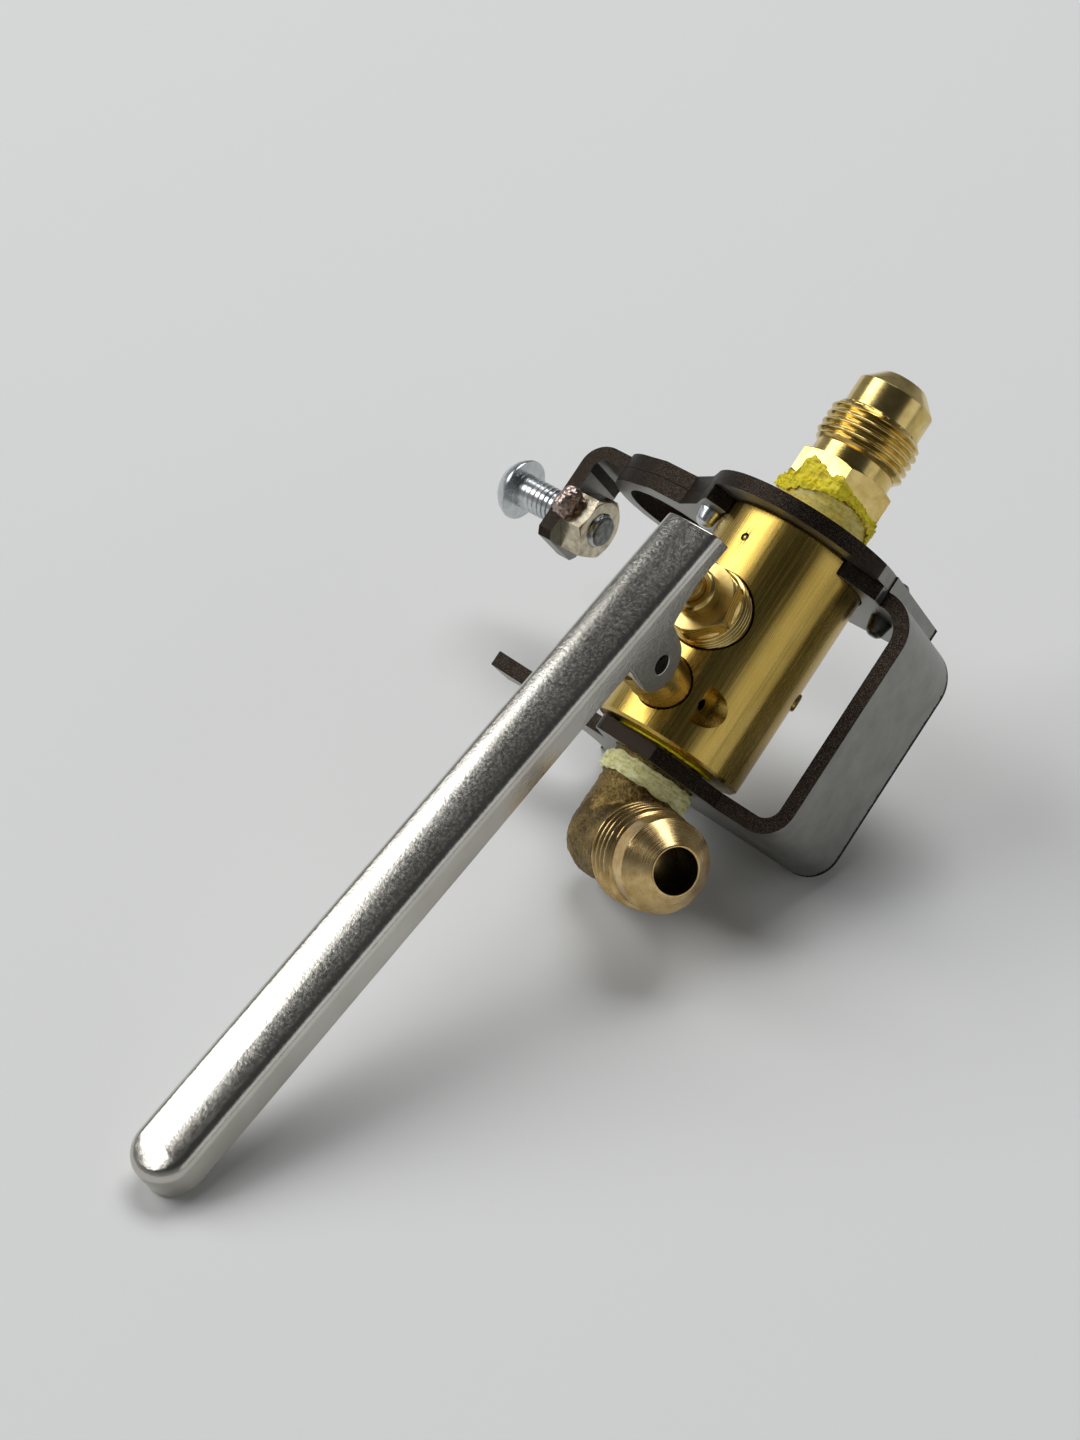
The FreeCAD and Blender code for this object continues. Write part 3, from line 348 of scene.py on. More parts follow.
def mill_steel():
    """Hot rolled strip, wiped with oil: a grey skin, dark torn metal on its cut edges, and a
    blackened burr along the far edge of the strap's side wall."""
    material, tree, shader = new_material("hot rolled steel strip", 1.0, 0.4)
    normal = add(tree, "ShaderNodeTexCoord").outputs["Normal"]
    facing = []
    for axis in range(3):
        dot = add(tree, "ShaderNodeVectorMath", {0: normal, 1: TURN.col[axis]},
                  operation="DOT_PRODUCT")
        facing.append(maths(tree, "ABSOLUTE", dot.outputs["Value"]))
    place = add(tree, "ShaderNodeSeparateXYZ", {0: valve_place(tree)}).outputs
    sides = maths(tree, "GREATER_THAN", facing[1], 0.5)
    flat_pair = maths(tree, "MULTIPLY", maths(tree, "GREATER_THAN", place[2], LEG_UNDERSIDE),
                      maths(tree, "LESS_THAN", place[0], LEG_FLAT_END))
    rim = maths(tree, "MULTIPLY", flat_pair, maths(tree, "LESS_THAN", facing[2], 0.5))
    ragged = maths(tree, "ADD", place[1], grain(tree, 1.4))
    beyond = maths(tree, "GREATER_THAN", ragged, STRAP_BACK - BURR_WIDTH)
    far_edge = maths(tree, "MULTIPLY", beyond, maths(tree, "GREATER_THAN", place[0], LEG_FLAT_END))
    cut = maths(tree, "MAXIMUM", maths(tree, "MAXIMUM", sides, rim), far_edge)
    mottle = grain(tree, 0.3, 5.0)
    skin = ramp(tree, mottle, ((0.3, "82817D"), (0.5, "8E8D89"), (0.7, "989793")))
    specks = grain(tree, 6.5, 4.0, 0.75)
    torn = ramp(tree, specks, ((0.4, "0F0C0A"), (0.52, "2C2621"), (0.66, "64594E")))
    burr = maths(tree, "MULTIPLY", far_edge, maths(tree, "LESS_THAN", facing[1], 0.5))
    scorched = mixed(tree, burr, torn, colour("0B0907"))
    tree.links.new(mixed(tree, cut, skin, scorched), shader.inputs["Base Color"])
    smooth = ramp(tree, mottle, ((0.3, 0.36), (0.7, 0.46)))
    coarse = ramp(tree, specks, ((0.3, 0.42), (0.7, 0.6)))
    tree.links.new(mixed(tree, cut, smooth, coarse), shader.inputs["Roughness"])
    bump(tree, shader, blended(tree, cut, 0.5, specks), 0.04, 0.6)
    return material


def nickel_plate():
    """Nickel over tumbled steel: bright, with shallow pebbles about half a millimetre across."""
    material, tree, shader = new_material("nickel plated steel", 1.0, 0.24)
    pebbles = grain(tree, 2.1)
    tint(tree, shader, grain(tree, 0.08, 2.0), (0.35, "BFBBB2"), (0.65, "CFCCC4"))
    gloss(tree, shader, pebbles, (0.35, 0.15), (0.65, 0.24))
    bump(tree, shader, pebbles, 0.032, 0.6)
    return material


def plain_metal(name, dark, light, low, high, density, relief):
    """A small steel part: two close shades, its own gloss, and a faint grain."""
    material, tree, shader = new_material(name, 1.0, low)
    mottle = grain(tree, density)
    tint(tree, shader, mottle, (0.35, dark), (0.65, light))
    gloss(tree, shader, mottle, (0.3, low), (0.7, high))
    bump(tree, shader, mottle, relief, 0.5)
    return material


def sealing_tape(name, dark, middle, light, relief):
    """Thread tape: thin matt plastic film in crumpled strands that run round the pipe."""
    material, tree, shader = new_material(name, 0.0, 0.5)
    strands = grain(tree, (0.45, 0.45, 2.2), 5.0, 0.7)
    creases = grain(tree, 1.4, 4.0, 0.7)
    shade = blended(tree, 0.45, strands, creases)
    tint(tree, shader, shade, (0.36, dark), (0.48, middle), (0.62, light))
    shader.inputs["Subsurface Weight"].default_value = 0.12
    shader.inputs["Subsurface Radius"].default_value = (0.001, 0.001, 0.0006)
    bump(tree, shader, shade, relief, 0.8)
    return material


def matt_plastic(name, dark, light, roughness):
    """Moulded plastic or rubber, hardly mottled."""
    material, tree, shader = new_material(name, 0.0, roughness)
    mottle = grain(tree, 1.5, 2.0)
    tint(tree, shader, mottle, (0.35, dark), (0.65, light))
    bump(tree, shader, mottle, 0.01, 0.4)
    return material


BAR_BRASS = drawn_brass()
# Name, axis it was turned round, two colours, two roughnesses
INLET_BRASS = turned_brass("turned brass fitting", (0, 0, 1), "C6AA62", "E0C884", 0.14, 0.24)
NOSE_BRASS = turned_brass("turned forging brass", OUTLET_SIDE, "BD9C62", "E2C48C", 0.2, 0.32)
TURNED_BRASS = turned_brass("turned brass", (0, 1, 0), "C8A860", "E4CA84", 0.18, 0.3)
FORGED_BRASS = forged_brass()
MILL_STEEL = mill_steel()
NICKEL = nickel_plate()
# painted shade for the insides of the flare bores and the lock pin's hole
SHADED_BORE = shaded_bore_paint()
# Name, two colours, two roughnesses, grains per millimetre, relief in millimetres
ZINC = plain_metal("zinc plated steel", "BCC0C3", "D2D6D8", 0.22, 0.3, 0.5, 0.004)
NUT_METAL = plain_metal("worn plated nut", "A39882", "D9D0B8", 0.16, 0.28, 0.6, 0.005)
WELD = plain_metal("weld bead", "8D7A74", "CDB9B0", 0.28, 0.42, 1.2, 0.03)
DULL_ZINC = plain_metal("dull zinc", "5C5D5B", "8C8D8A", 0.3, 0.42, 0.8, 0.02)
BLACK_STEEL = plain_metal("black oxide steel", "0C0C0B", "1C1B19", 0.26, 0.36, 1.5, 0.01)
GROUND_STEEL = plain_metal("ground steel", "A5A6A4", "C6C7C5", 0.2, 0.3, 2.0, 0.01)
# Name, three colours, relief in millimetres
WHITE_TAPE = sealing_tape("white sealing tape", "CDAE36", "F4DB62", "FFF2A6", 0.3)
GREEN_TAPE = sealing_tape("pale green sealing tape", "A9A35C", "E2DE98", "FAF8CC", 0.3)
YELLOW_FILM = sealing_tape("yellow sealing film", "A08A00", "F4DC00", "FFF92A", 0.4)
PACKING_WHITE = matt_plastic("moulded packing", "D2D2CC", "E4E4DF", 0.45)
SEAL_RUBBER = matt_plastic("seal rubber", "141414", "1F1F1F", 0.7)


# Shapes

def placed(name, data):
    """A new object in the scene that holds a mesh, a lamp or a camera."""
    item = bpy.data.objects.new(name, data)
    bpy.context.scene.collection.objects.link(item)
    return item


def paint(mesh, material):
    """One finish for the whole mesh."""
    mesh.materials.clear()
    mesh.materials.append(material)


def new_piece(name, mesh, material):
    paint(mesh, material)
    return placed(name, mesh)


def mesh_from(shape, name):
    """The mesh of a bmesh, which is freed."""
    mesh = bpy.data.meshes.new(name)
    shape.to_mesh(mesh)
    shape.free()
    return mesh


def finish_shading(mesh, angle):
    for polygon in mesh.polygons:
        polygon.use_smooth = True
    mesh.set_sharp_from_angle(angle=math.radians(angle))


def evaluated(shape, name):
    """Apply an object's modifiers and leave a plain mesh object in its place."""
    graph = bpy.context.evaluated_depsgraph_get()
    graph.update()
    mesh = bpy.data.meshes.new_from_object(shape.evaluated_get(graph))
    mesh.name = name
    shape.modifiers.clear()
    shape.data = mesh
    return shape


def node_copy(node):
    """The node's surface as one joined mesh, its flat areas cleaned of triangle edges."""
    shape = bmesh.new()
    shape.from_mesh(nodes[node].data)
    bmesh.ops.remove_doubles(shape, verts=shape.verts, dist=MERGE_GAP * MM)
    bmesh.ops.dissolve_limit(shape, angle_limit=math.radians(FLAT_ANGLE), verts=shape.verts,
                             edges=shape.edges)
    return shape


def slimmed(shape, axis, zone, form):
    """Draw in a threaded stretch to the thread's root, so that the thread can be laid over it."""
    radius = form[0] - form[1] - ROOT_ROOM
    into = axis.inverted()
    for vertex in shape.verts:
        place = into @ vertex.co
        reach = math.hypot(place.x, place.y)
        if zone[0] - ZONE_SLACK < place.z < zone[1] + ZONE_SLACK and reach > radius:
            slim = Vector((place.x * radius / reach, place.y * radius / reach, place.z))
            vertex.co = axis @ slim


def stand_in(name, shape, material, edge):
    """Turn a mesh in hand into a piece with its edges broken and its flat faces shaded level."""
    piece = new_piece(name, mesh_from(shape, name), material)
    if edge:
        bevel = piece.modifiers.new("broken edges", "BEVEL")
        bevel.width = edge * MM
        bevel.segments = 2
        bevel.limit_method = "ANGLE"
        bevel.angle_limit = math.radians(SHARP_ANGLE)
        bevel.use_clamp_overlap = True
        evaluated(piece, name)
    finish_shading(piece.data, SHARP_ANGLE)
    level = piece.modifiers.new("level faces", "WEIGHTED_NORMAL")
    level.keep_sharp = True
    return evaluated(piece, name)


def settle(piece, node):
    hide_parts(node)
    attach(piece, nodes[node]["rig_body"])
    return piece


def joined(pieces, name):
    """One piece with the faces of several and a slot for each of their finishes."""
    shape = bmesh.new()
    slots = []
    for piece in pieces:
        material = piece.data.materials[0]
        if material not in slots:
            slots.append(material)
        part = bmesh.new()
        part.from_mesh(piece.data)
        for face in part.faces:
            face.material_index = slots.index(material)
        mesh = mesh_from(part, "part")
        shape.from_mesh(mesh)
        bpy.data.meshes.remove(mesh)
    mesh = mesh_from(shape, name)
    for material in slots:
        mesh.materials.append(material)
    for piece in pieces:
        bpy.data.objects.remove(piece)
    return placed(name, mesh)


def refinish(piece, material, axis, zone, radius):
    """Another finish for the faces in a stretch of an axis and no further from it."""
    mesh = piece.data
    mesh.materials.append(material)
    slot = len(mesh.materials) - 1
    into = axis.inverted()
    within = []
    for vertex in mesh.vertices:
        place = into @ vertex.co
        near = math.hypot(place.x, place.y) < radius + ZONE_SLACK
        within.append(near and zone[0] < place.z < zone[1])
    for polygon in mesh.polygons:
        if all(within[corner] for corner in polygon.vertices):
            polygon.material_index = slot


# Screw threads, one rule for all of them

def thread_tree():
    """Geometry nodes that wrap a grid into a tube with a helical groove and chamfered ends."""
    tree = bpy.data.node_groups.new("screw thread", "GeometryNodeTree")
    tree.interface.new_socket("Geometry", in_out="OUTPUT", socket_type="NodeSocketGeometry")
    for name in ("Radius", "Depth", "Pitch", "Length"):
        tree.interface.new_socket(name, in_out="INPUT", socket_type="NodeSocketFloat")
    tree.interface.new_socket("Rows", in_out="INPUT", socket_type="NodeSocketInt")
    tree.interface.new_socket("Finish", in_out="INPUT", socket_type="NodeSocketMaterial")
    given = add(tree, "NodeGroupInput").outputs

    grid = add(tree, "GeometryNodeMeshGrid", {"Size X": 1.0, "Size Y": 1.0,
                                              "Vertices X": THREAD_SIDES + 1,
                                              "Vertices Y": given["Rows"]})
    position = add(tree, "GeometryNodeInputPosition").outputs[0]
    place = add(tree, "ShaderNodeSeparateXYZ", {0: position})
    around = maths(tree, "ADD", place.outputs[0], 0.5)
    height = maths(tree, "ADD", place.outputs[1], 0.5)
    along = maths(tree, "MULTIPLY", height, given["Length"])
    turns = maths(tree, "SUBTRACT", maths(tree, "DIVIDE", along, given["Pitch"]), around)
    share = maths(tree, "FRACT", turns)
    wave = maths(tree, "ABSOLUTE", maths(tree, "MULTIPLY_ADD", share, 2.0, -1.0))
    form = add(tree, "ShaderNodeMapRange", {0: wave, 1: 0.12, 2: 0.88, 3: 0.0, 4: 1.0})
    groove = maths(tree, "MULTIPLY", form.outputs[0], given["Depth"])
    to_end = maths(tree, "MINIMUM", along, maths(tree, "SUBTRACT", given["Length"], along))
    chamfer = maths(tree, "SUBTRACT", given["Depth"], to_end)
    cut = maths(tree, "MAXIMUM", groove, chamfer)
    radius = maths(tree, "SUBTRACT", given["Radius"], cut)
    angle = maths(tree, "MULTIPLY", around, 2 * math.pi)
    across = maths(tree, "MULTIPLY", radius, maths(tree, "COSINE", angle))
    beside = maths(tree, "MULTIPLY", radius, maths(tree, "SINE", angle))
    wrapped = add(tree, "ShaderNodeCombineXYZ", {0: across, 1: beside, 2: along}).outputs[0]
    moved = add(tree, "GeometryNodeSetPosition", {"Geometry": grid.outputs[0], "Position": wrapped})
    closed = add(tree, "GeometryNodeMergeByDistance", {"Geometry": moved.outputs[0],
                                                       "Distance": 0.001})
    whole = add(tree, "GeometryNodeRealizeInstances", {0: closed.outputs[0]})
    painted = add(tree, "GeometryNodeSetMaterial", {"Geometry": whole.outputs[0],
                                                    "Material": given["Finish"]})
    add(tree, "NodeGroupOutput", {0: painted.outputs[0]})
    return tree


THREAD = thread_tree()


def thread(axis, zone, form, material):
    """A threaded stretch in millimetres along +Z of its axis, capped at both ends."""
    radius, depth, pitch = form
    shape = new_piece("thread", bpy.data.meshes.new("thread"), material)
    wrap = shape.modifiers.new("thread", "NODES")
    wrap.node_group = THREAD
    length = zone[1] - zone[0]
    values = {"Radius": radius, "Depth": depth, "Pitch": pitch, "Length": length,
              "Rows": int(length / pitch * ROWS_A_TURN), "Finish": material}
    for socket in THREAD.interface.items_tree:
        if socket.in_out == "INPUT":
            wrap[socket.identifier] = values[socket.name]
    evaluated(shape, "thread")
    capped = bmesh.new()
    capped.from_mesh(shape.data)
    bmesh.ops.holes_fill(capped, edges=capped.edges, sides=0)
    bmesh.ops.recalc_face_normals(capped, faces=capped.faces)
    capped.transform(axis @ Matrix.Translation((0, 0, zone[0])))
    capped.to_mesh(shape.data)
    capped.free()
    paint(shape.data, material)
    finish_shading(shape.data, THREAD_ANGLE)
    return shape


# The pieces with a thread

def threaded(node, name, axis, zone, core_zone, form, material, edge):
    """A node's copy with its plain cylinder drawn in and the thread's crests laid over it."""
    shape = node_copy(node)
    slimmed(shape, axis, core_zone, form)
    core = stand_in("core", shape, material, edge)
    crests = thread(axis, zone, form, material)
    return settle(joined([core, crests], name), node)


def threaded_pieces():
    fitting = threaded("inlet_fitting", "inlet_flare_fitting", INLET_AXIS, INLET_THREAD, INLET_CORE,
                       FLARE_FORM, INLET_BRASS, 0.2)
    # painted shade inside the inlet's bore
    refinish(fitting, SHADED_BORE, INLET_AXIS, INLET_BORE, FLARE_BORE_R)
    threaded("packing_nut", "packing_nut_piece", PACKING_AXIS, PACKING_THREAD, PACKING_THREAD,
             PACKING_FORM, TURNED_BRASS, 0.15)
    screw = threaded("clamp_screw", "clamp_screw_piece", SCREW_AXIS, SCREW_THREAD, SCREW_CORE,
                     SCREW_FORM, ZINC, 0.15)
    refinish(screw, DULL_ZINC, SCREW_AXIS, SCREW_END, SCREW_R)


def forged_half(shape, beyond):
    """Keep what lies beyond the end of the forging's skin, or before it, and close the cut."""
    base = OUTLET_AXIS @ Vector((0, 0, OUTLET_THREAD[0] + ROOT_ROOM))
    normal = (OUTLET_AXIS.to_3x3() @ Vector((0, 0, 1))).normalized()
    everything = shape.verts[:] + shape.edges[:] + shape.faces[:]
    cut = bmesh.ops.bisect_plane(shape, geom=everything, plane_co=base, plane_no=normal,
                                 clear_outer=not beyond, clear_inner=beyond)
    rim = [item for item in cut["geom_cut"] if isinstance(item, bmesh.types.BMEdge)]
    bmesh.ops.holes_fill(shape, edges=rim, sides=0)
    return shape


def roughened(name, shape, material, voxel, lumps, depth):
    """An evenly remeshed piece with the lumps of a casting or a weld."""
    piece = new_piece(name, mesh_from(shape, name), material)
    grains = piece.modifiers.new("even grain", "REMESH")
    grains.mode = "VOXEL"
    grains.voxel_size = voxel * MM
    evaluated(piece, name)
    mesh = piece.data
    outward = [vertex.normal.copy() for vertex in mesh.vertices]
    for vertex, normal in zip(mesh.vertices, outward):
        rough = noise.fractal(vertex.co / MM * lumps, 0.8, 2.0, 3) * depth
        vertex.co += normal * rough * MM
    paint(mesh, material)
    finish_shading(mesh, ROUGH_ANGLE)
    return piece


def outlet_elbow():
    """The forging keeps its skin up to the thread; thread, nose and bore are machined."""
    whole = node_copy("outlet_elbow")
    outer = forged_half(whole.copy(), True)
    forging = roughened("forging", forged_half(whole, False), FORGED_BRASS, 0.3, 0.9, 0.14)
    slimmed(outer, OUTLET_AXIS, OUTLET_THREAD, FLARE_FORM)
    nose = stand_in("nose", outer, NOSE_BRASS, 0.2)
    crests = thread(OUTLET_AXIS, OUTLET_THREAD, FLARE_FORM, NOSE_BRASS)
    elbow = joined([forging, nose, crests], "outlet_elbow_piece")
    # painted shade inside the outlet's bore
    refinish(elbow, SHADED_BORE, OUTLET_AXIS, OUTLET_BORE, FLARE_BORE_R)
    settle(elbow, "outlet_elbow")


# The wound tapes and the torn film

def about(radius, angle, height):
    return (radius * math.cos(angle), radius * math.sin(angle), height)


def clear_mesh(name, rings, closed, material):
    """A skin through rings of points on the valve, joined round, and end to end or capped."""
    count = len(rings[0])
    points = [LAID @ Vector(point) for ring in rings for point in ring]
    faces = []
    last = len(rings) if closed else len(rings) - 1
    for row in range(last):
        after = (row + 1) % len(rings)
        for step in range(count):
            beside = (step + 1) % count
            faces.append((row * count + step, row * count + beside,
                          after * count + beside, after * count + step))
    if not closed:
        faces.append(tuple(range(count))[::-1])
        faces.append(tuple(last * count + step for step in range(count)))
    mesh = bpy.data.meshes.new(name)
    mesh.from_pydata(points, [], faces)
    skin = bmesh.new()
    skin.from_mesh(mesh)
    bmesh.ops.recalc_face_normals(skin, faces=skin.faces)
    skin.to_mesh(mesh)
    skin.free()
    piece = new_piece(name, mesh, material)
    finish_shading(mesh, ROUGH_ANGLE)
    return piece


def crumple(place, scale=1.0):
    return noise.fractal(Vector(place) * scale, 0.9, 2.0, 3)


def torn_off(place):
    """Share of a ragged edge's depth that is missing at a place."""
    return 0.5 + 0.8 * crumple(place, 0.5)


def between(stops, position):
    """Value at a position of a table of (position, value) stops."""
    for (start, low), (end, high) in zip(stops, stops[1:]):
        if position <= end:
            share = max(0.0, (position - start) / (end - start))
            return low + (high - low) * share
    return stops[-1][1]


TAPE_COLUMNS = 220
TAPE_ROWS = 22
TAPE_NOISE_R = 5
TAPE_ROOM = 0.12  # between the pipe and the tape's inside
TAPE_LIP = 0.02
TAPE_STRAND = 0.16  # depth of the strands that run round, and of the folds across them
TAPE_PUCKER = 0.1


def wound_tape(profile, foot, top, ragged, material):
    """Tape in a crumpled ring: the profile gives its outer radius over the share of its height.
    Its upper edge is ragged, and its lower edge too where it hangs free below the body."""
    inner = PIPE_R + TAPE_ROOM
    rings = []
    for step in range(TAPE_COLUMNS):
        angle = 2 * math.pi * step / TAPE_COLUMNS
        east, north, _ = about(TAPE_NOISE_R, angle, 0)
        low = foot
        if foot < 0:
            low += ragged * torn_off((east, north, 0))
        high = top - ragged * torn_off((east, north, 9))
        ring = [about(inner, angle, low + TAPE_LIP)]
        for row in range(TAPE_ROWS):
            share = row / (TAPE_ROWS - 1)
            height = low + (high - low) * share
            strand = TAPE_STRAND * crumple((east * 0.35, north * 0.35, height), 1.5)
            pucker = TAPE_PUCKER * crumple((east, north, height), 0.8)
            ring.append(about(between(profile, share) + strand + pucker, angle, height))
        ring.append(about(inner, angle, high - TAPE_LIP))
        rings.append(ring)
    return clear_mesh("tape ring", rings, True, material)


def hexagon_reach(degrees):
    """Distance of the inlet hexagon's side from its axis, with a corner at 0 degrees."""
    return INLET_HEX_AF / 2 / math.cos(math.radians(degrees % 60 - 30))


# Edges of the torn film as it is seen: (angle round the axis, height)
FILM_TOP = ((-150, 6.6), (-133, 7.4), (-122, 7.9), (-116, 8.2), (-110, 8.6), (-109, 11.2),
            (-104, 11.9), (-98, 11.7), (-85, 11.0), (-74, 10.1), (-70, 10.6), (-65, 10.9),
            (-59, 10.4), (-47, 9.9), (-28, 9.3), (-12, 8.7), (0, 8.3), (12, 7.8), (20, 7.0))
FILM_FOOT = ((-150, 6.2), (-133, 5.6), (-115, 5.2), (-98, 6.2), (-68, 7.3), (-41, 7.9), (-6, 6.9),
             (8, 5.7), (20, 5.2))
FILM_ROWS = 14
FILM_THICK = 0.12
FILM_LEAST = 0.4  # least height between its edges
FILM_TEAR_TOP = 0.45
FILM_TEAR_FOOT = 0.4
FILM_FOLD = 0.42
FILM_ON_HEX = 0.1  # between the hexagon and the film, and between the tape's cone and the film
FILM_ON_TAPE = 0.15
TAPE_CONE_R = 7.5
TAPE_CONE_SLOPE = 0.22


def torn_film():
    """Yellow sealing film, torn and pressed over the foot of the inlet's hexagon. Below the
    hexagon it follows the tape's cone."""
    rings = []
    for degrees in range(FILM_TOP[0][0], FILM_TOP[-1][0] + 1):
        angle = math.radians(degrees)
        high = between(FILM_TOP, degrees) + FILM_TEAR_TOP * crumple((degrees * 0.2, 0, 3))
        low = between(FILM_FOOT, degrees) + FILM_TEAR_FOOT * crumple((degrees * 0.2, 5, 0))
        high = max(high, low + FILM_LEAST)
        outer = []
        inner = []
        for row in range(FILM_ROWS):
            height = low + (high - low) * row / (FILM_ROWS - 1)
            free = TAPE_CONE_R + (height - PLATE_TOP) * TAPE_CONE_SLOPE + FILM_ON_TAPE
            if height > INLET_HEX_Z - FILM_ON_HEX:
                free = hexagon_reach(degrees) + FILM_ON_HEX
            fold = FILM_FOLD * abs(crumple((degrees * 0.12, height * 0.9, 1)))
            outer.append((free + FILM_THICK + fold, height))
            inner.append((free + fold, height))
        rings.append([about(radius, angle, height) for radius, height in outer + inner[::-1]])
    return clear_mesh("torn film", rings, False, YELLOW_FILM)


SQUEEZED_FROM = -135
SQUEEZED_STEPS = 120
SQUEEZED_STEP = 1.2
SQUEEZED_INSIDE = 7.4
SQUEEZED_OUTSIDE = 8.6
SQUEEZED_THICK = 0.42


def squeezed_film():
    """Yellow film squeezed out between the body's foot and the bracket's lower leg."""
    rings = []
    for step in range(SQUEEZED_STEPS + 1):
        degrees = SQUEEZED_FROM + step * SQUEEZED_STEP
        angle = math.radians(degrees)
        reach = SQUEEZED_OUTSIDE + 0.5 * crumple((degrees * 0.07, 0, 0))
        low = BODY_FOOT - SQUEEZED_THICK - 0.12 * crumple((degrees * 0.1, 4, 0))
        loop = ((SQUEEZED_INSIDE, BODY_FOOT - 0.06), (reach, BODY_FOOT - 0.05),
                (reach + 0.15, BODY_FOOT - 0.2), (reach, low), (SQUEEZED_INSIDE, low))
        rings.append([about(radius, angle, height) for radius, height in loop])
    return clear_mesh("squeezed film", rings, False, YELLOW_FILM)


def tapes():
    cone = ((0, 7.55), (0.35, 7.95), (0.7, 8.3), (0.92, 8.6), (1, 8.3))
    ring = wound_tape(cone, PLATE_TOP + 0.05, INLET_HEX_Z - 0.1, 0.1, WHITE_TAPE)
    settle(joined([ring, torn_film()], "inlet_tape_piece"), "inlet_tape")
    barrel = ((0, 7.2), (0.2, 7.75), (0.75, 7.7), (1, 7.3))
    ring = wound_tape(barrel, OUTLET_TAPE[0], OUTLET_TAPE[1] - 0.05, 0.5, GREEN_TAPE)
    settle(joined([ring, squeezed_film()], "outlet_tape_piece"), "outlet_tape")


def squeeze(spring):
    """The spring gets its own copy of its mesh."""
    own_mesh(spring)


threaded_pieces()
outlet_elbow()
tapes()
settle(roughened("nut_weld_bead", node_copy("nut_weld"), WELD, 0.15, 0.9, 0.22), "nut_weld")

# The pieces that only need their finish and broken edges, so many millimetres wide
PLAIN_PIECES = (
    ("valve_body", "valve_body_piece", BAR_BRASS, 0.12),
    ("top_plate", "top_plate_piece", MILL_STEEL, 0.2),
    ("strap_bracket", "strap_bracket_piece", MILL_STEEL, 0.2),
    ("plate_rivets", "plate_rivets_piece", ZINC, 0.1),
    ("packing_washer", "packing_washer_piece", GROUND_STEEL, 0.05),
    ("stem_packing", "stem_packing_piece", PACKING_WHITE, 0.0),
    ("valve_seat", "valve_seat_piece", TURNED_BRASS, 0.0),
    ("stem", "valve_stem", TURNED_BRASS, 0.05),
    ("seal_disc", "seal_disc_piece", SEAL_RUBBER, 0.05),
    ("closing_spring", "closing_spring_piece", GROUND_STEEL, 0.0),
    ("fulcrum_post", "fulcrum_post_piece", TURNED_BRASS, 0.12),
    ("post_lock_pin", "post_lock_pin_piece", BLACK_STEEL, 0.1),
    ("pivot_pin", "pivot_pin_piece", BLACK_STEEL, 0.1),
    ("lever", "pressed_lever", NICKEL, 0.25),
    ("stem_yoke", "stem_yoke_piece", NICKEL, 0.08),
    ("clamp_nut", "clamp_nut_piece", NUT_METAL, 0.12),
    ("passage_plug", "passage_plug_piece", TURNED_BRASS, 0.1),
    ("ball_plug", "ball_plug_piece", TURNED_BRASS, 0.0),
)
plain = {}
for node, name, material, edge in PLAIN_PIECES:
    plain[node] = settle(stand_in(name, node_copy(node), material, edge), node)
squeeze(plain["closing_spring"])
# painted shade in the lock pin's hole
refinish(plain["valve_body"], SHADED_BORE, LOCK_HOLE_AXIS, LOCK_HOLE, LOCK_HOLE_R)
refinish(plain["plate_rivets"], DULL_ZINC, RIGHT_RIVET_AXIS, RIGHT_RIVET, RIGHT_RIVET_R)


# Paper, light and camera

PAPER_HALF = 2.5  # metres, as the lamps' distance is
PANEL_AWAY = 2.6
# Lamps in degrees as seen from the valve: azimuth, height, width, tallness, then radiance, roll
LAMPS = (
    ("window", 122, 43, 48, 22, 4.4, 18),
    ("ceiling lamp", 28, 63, 34, 30, 4.4, 0),
    ("far wall", -78, 20, 66, 26, 0.45, 0),
)
# The room's own light fades from the first level to the second between two upward slopes
ROOM_COLOUR = "E6E9EC"
ROOM_SLOPES = (0.1, 0.65)
ROOM_LEVELS = (0.42, 0.06)
# The camera as fitted to the photograph, in the valve's own axes
CAMERA_PLACE = (201.3, -365.2, -80.9)
CAMERA_RIGHT = (0.7365, 0.3957, 0.5488)
CAMERA_UP = (-0.4327, -0.3482, 0.8317)
CAMERA_LENS = 45.0
CAMERA_SENSOR = 24.0


def paper():
    material = new_material("pale paper", 0.0, 0.75, "E7E8E7")[0]
    mesh = bpy.data.meshes.new("paper")
    side = PAPER_HALF
    corners = [(-side, -side, 0), (side, -side, 0), (side, side, 0), (-side, side, 0)]
    mesh.from_pydata(corners, [], [(0, 1, 2, 3)])
    new_piece("paper", mesh, material)


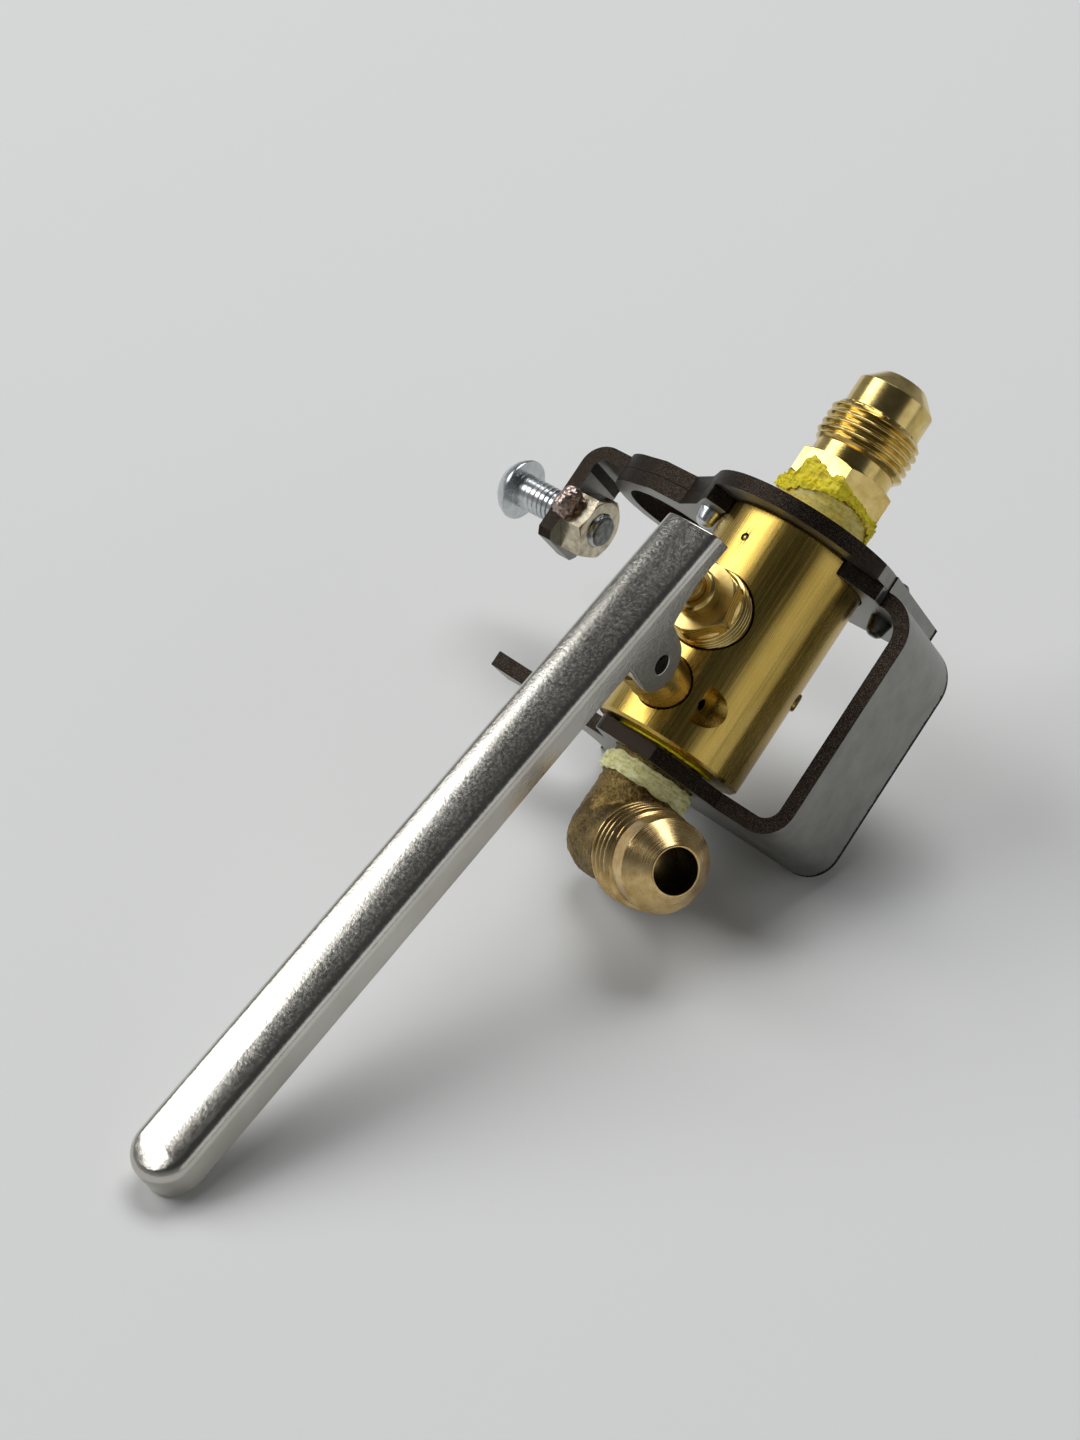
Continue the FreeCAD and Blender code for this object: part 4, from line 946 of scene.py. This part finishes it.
def softbox(name, azimuth, height, width, tall, radiance, roll):
    """A far, evenly bright panel that faces the valve."""
    turn = math.radians(azimuth)
    lift = math.radians(height)
    toward = Vector((math.cos(lift) * math.cos(turn), math.cos(lift) * math.sin(turn),
                     math.sin(lift)))
    lamp = bpy.data.lights.new(name, "AREA")
    lamp.shape = "RECTANGLE"
    lamp.size = 2 * PANEL_AWAY * math.tan(math.radians(width / 2))
    lamp.size_y = 2 * PANEL_AWAY * math.tan(math.radians(tall / 2))
    lamp.energy = radiance * math.pi * lamp.size * lamp.size_y
    light = placed(name, lamp)
    light.location = toward * PANEL_AWAY
    facing = (-toward).to_track_quat("-Z", "Y").to_matrix()
    light.rotation_euler = (facing @ Matrix.Rotation(math.radians(roll), 3, "Z")).to_euler()


def camera():
    right = Vector(CAMERA_RIGHT)
    up = Vector(CAMERA_UP)
    view = Matrix((right, up, right.cross(up))).transposed()
    eye = bpy.data.cameras.new("camera")
    eye.sensor_fit = "VERTICAL"
    eye.sensor_height = CAMERA_SENSOR
    eye.lens = CAMERA_LENS
    eye.clip_start = 0.01
    viewer = placed("camera", eye)
    place = LAID @ Vector(CAMERA_PLACE)
    viewer.matrix_world = Matrix.Translation(place) @ (TURN @ view).to_4x4()
    bpy.context.scene.camera = viewer


def room():
    world = bpy.data.worlds.new("room")
    world.use_nodes = True
    tree = world.node_tree
    background = tree.nodes["Background"]
    background.inputs["Color"].default_value = colour(ROOM_COLOUR)
    direction = add(tree, "ShaderNodeTexCoord").outputs["Generated"]
    slope = add(tree, "ShaderNodeSeparateXYZ", {0: direction}).outputs[2]
    level = add(tree, "ShaderNodeMapRange", {0: slope, 1: ROOM_SLOPES[0], 2: ROOM_SLOPES[1],
                                             3: ROOM_LEVELS[0], 4: ROOM_LEVELS[1]})
    tree.links.new(level.outputs[0], background.inputs["Strength"])
    bpy.context.scene.world = world


paper()
for lamp in LAMPS:
    softbox(*lamp)
camera()
room()
bpy.context.scene.view_settings.view_transform = "Standard"
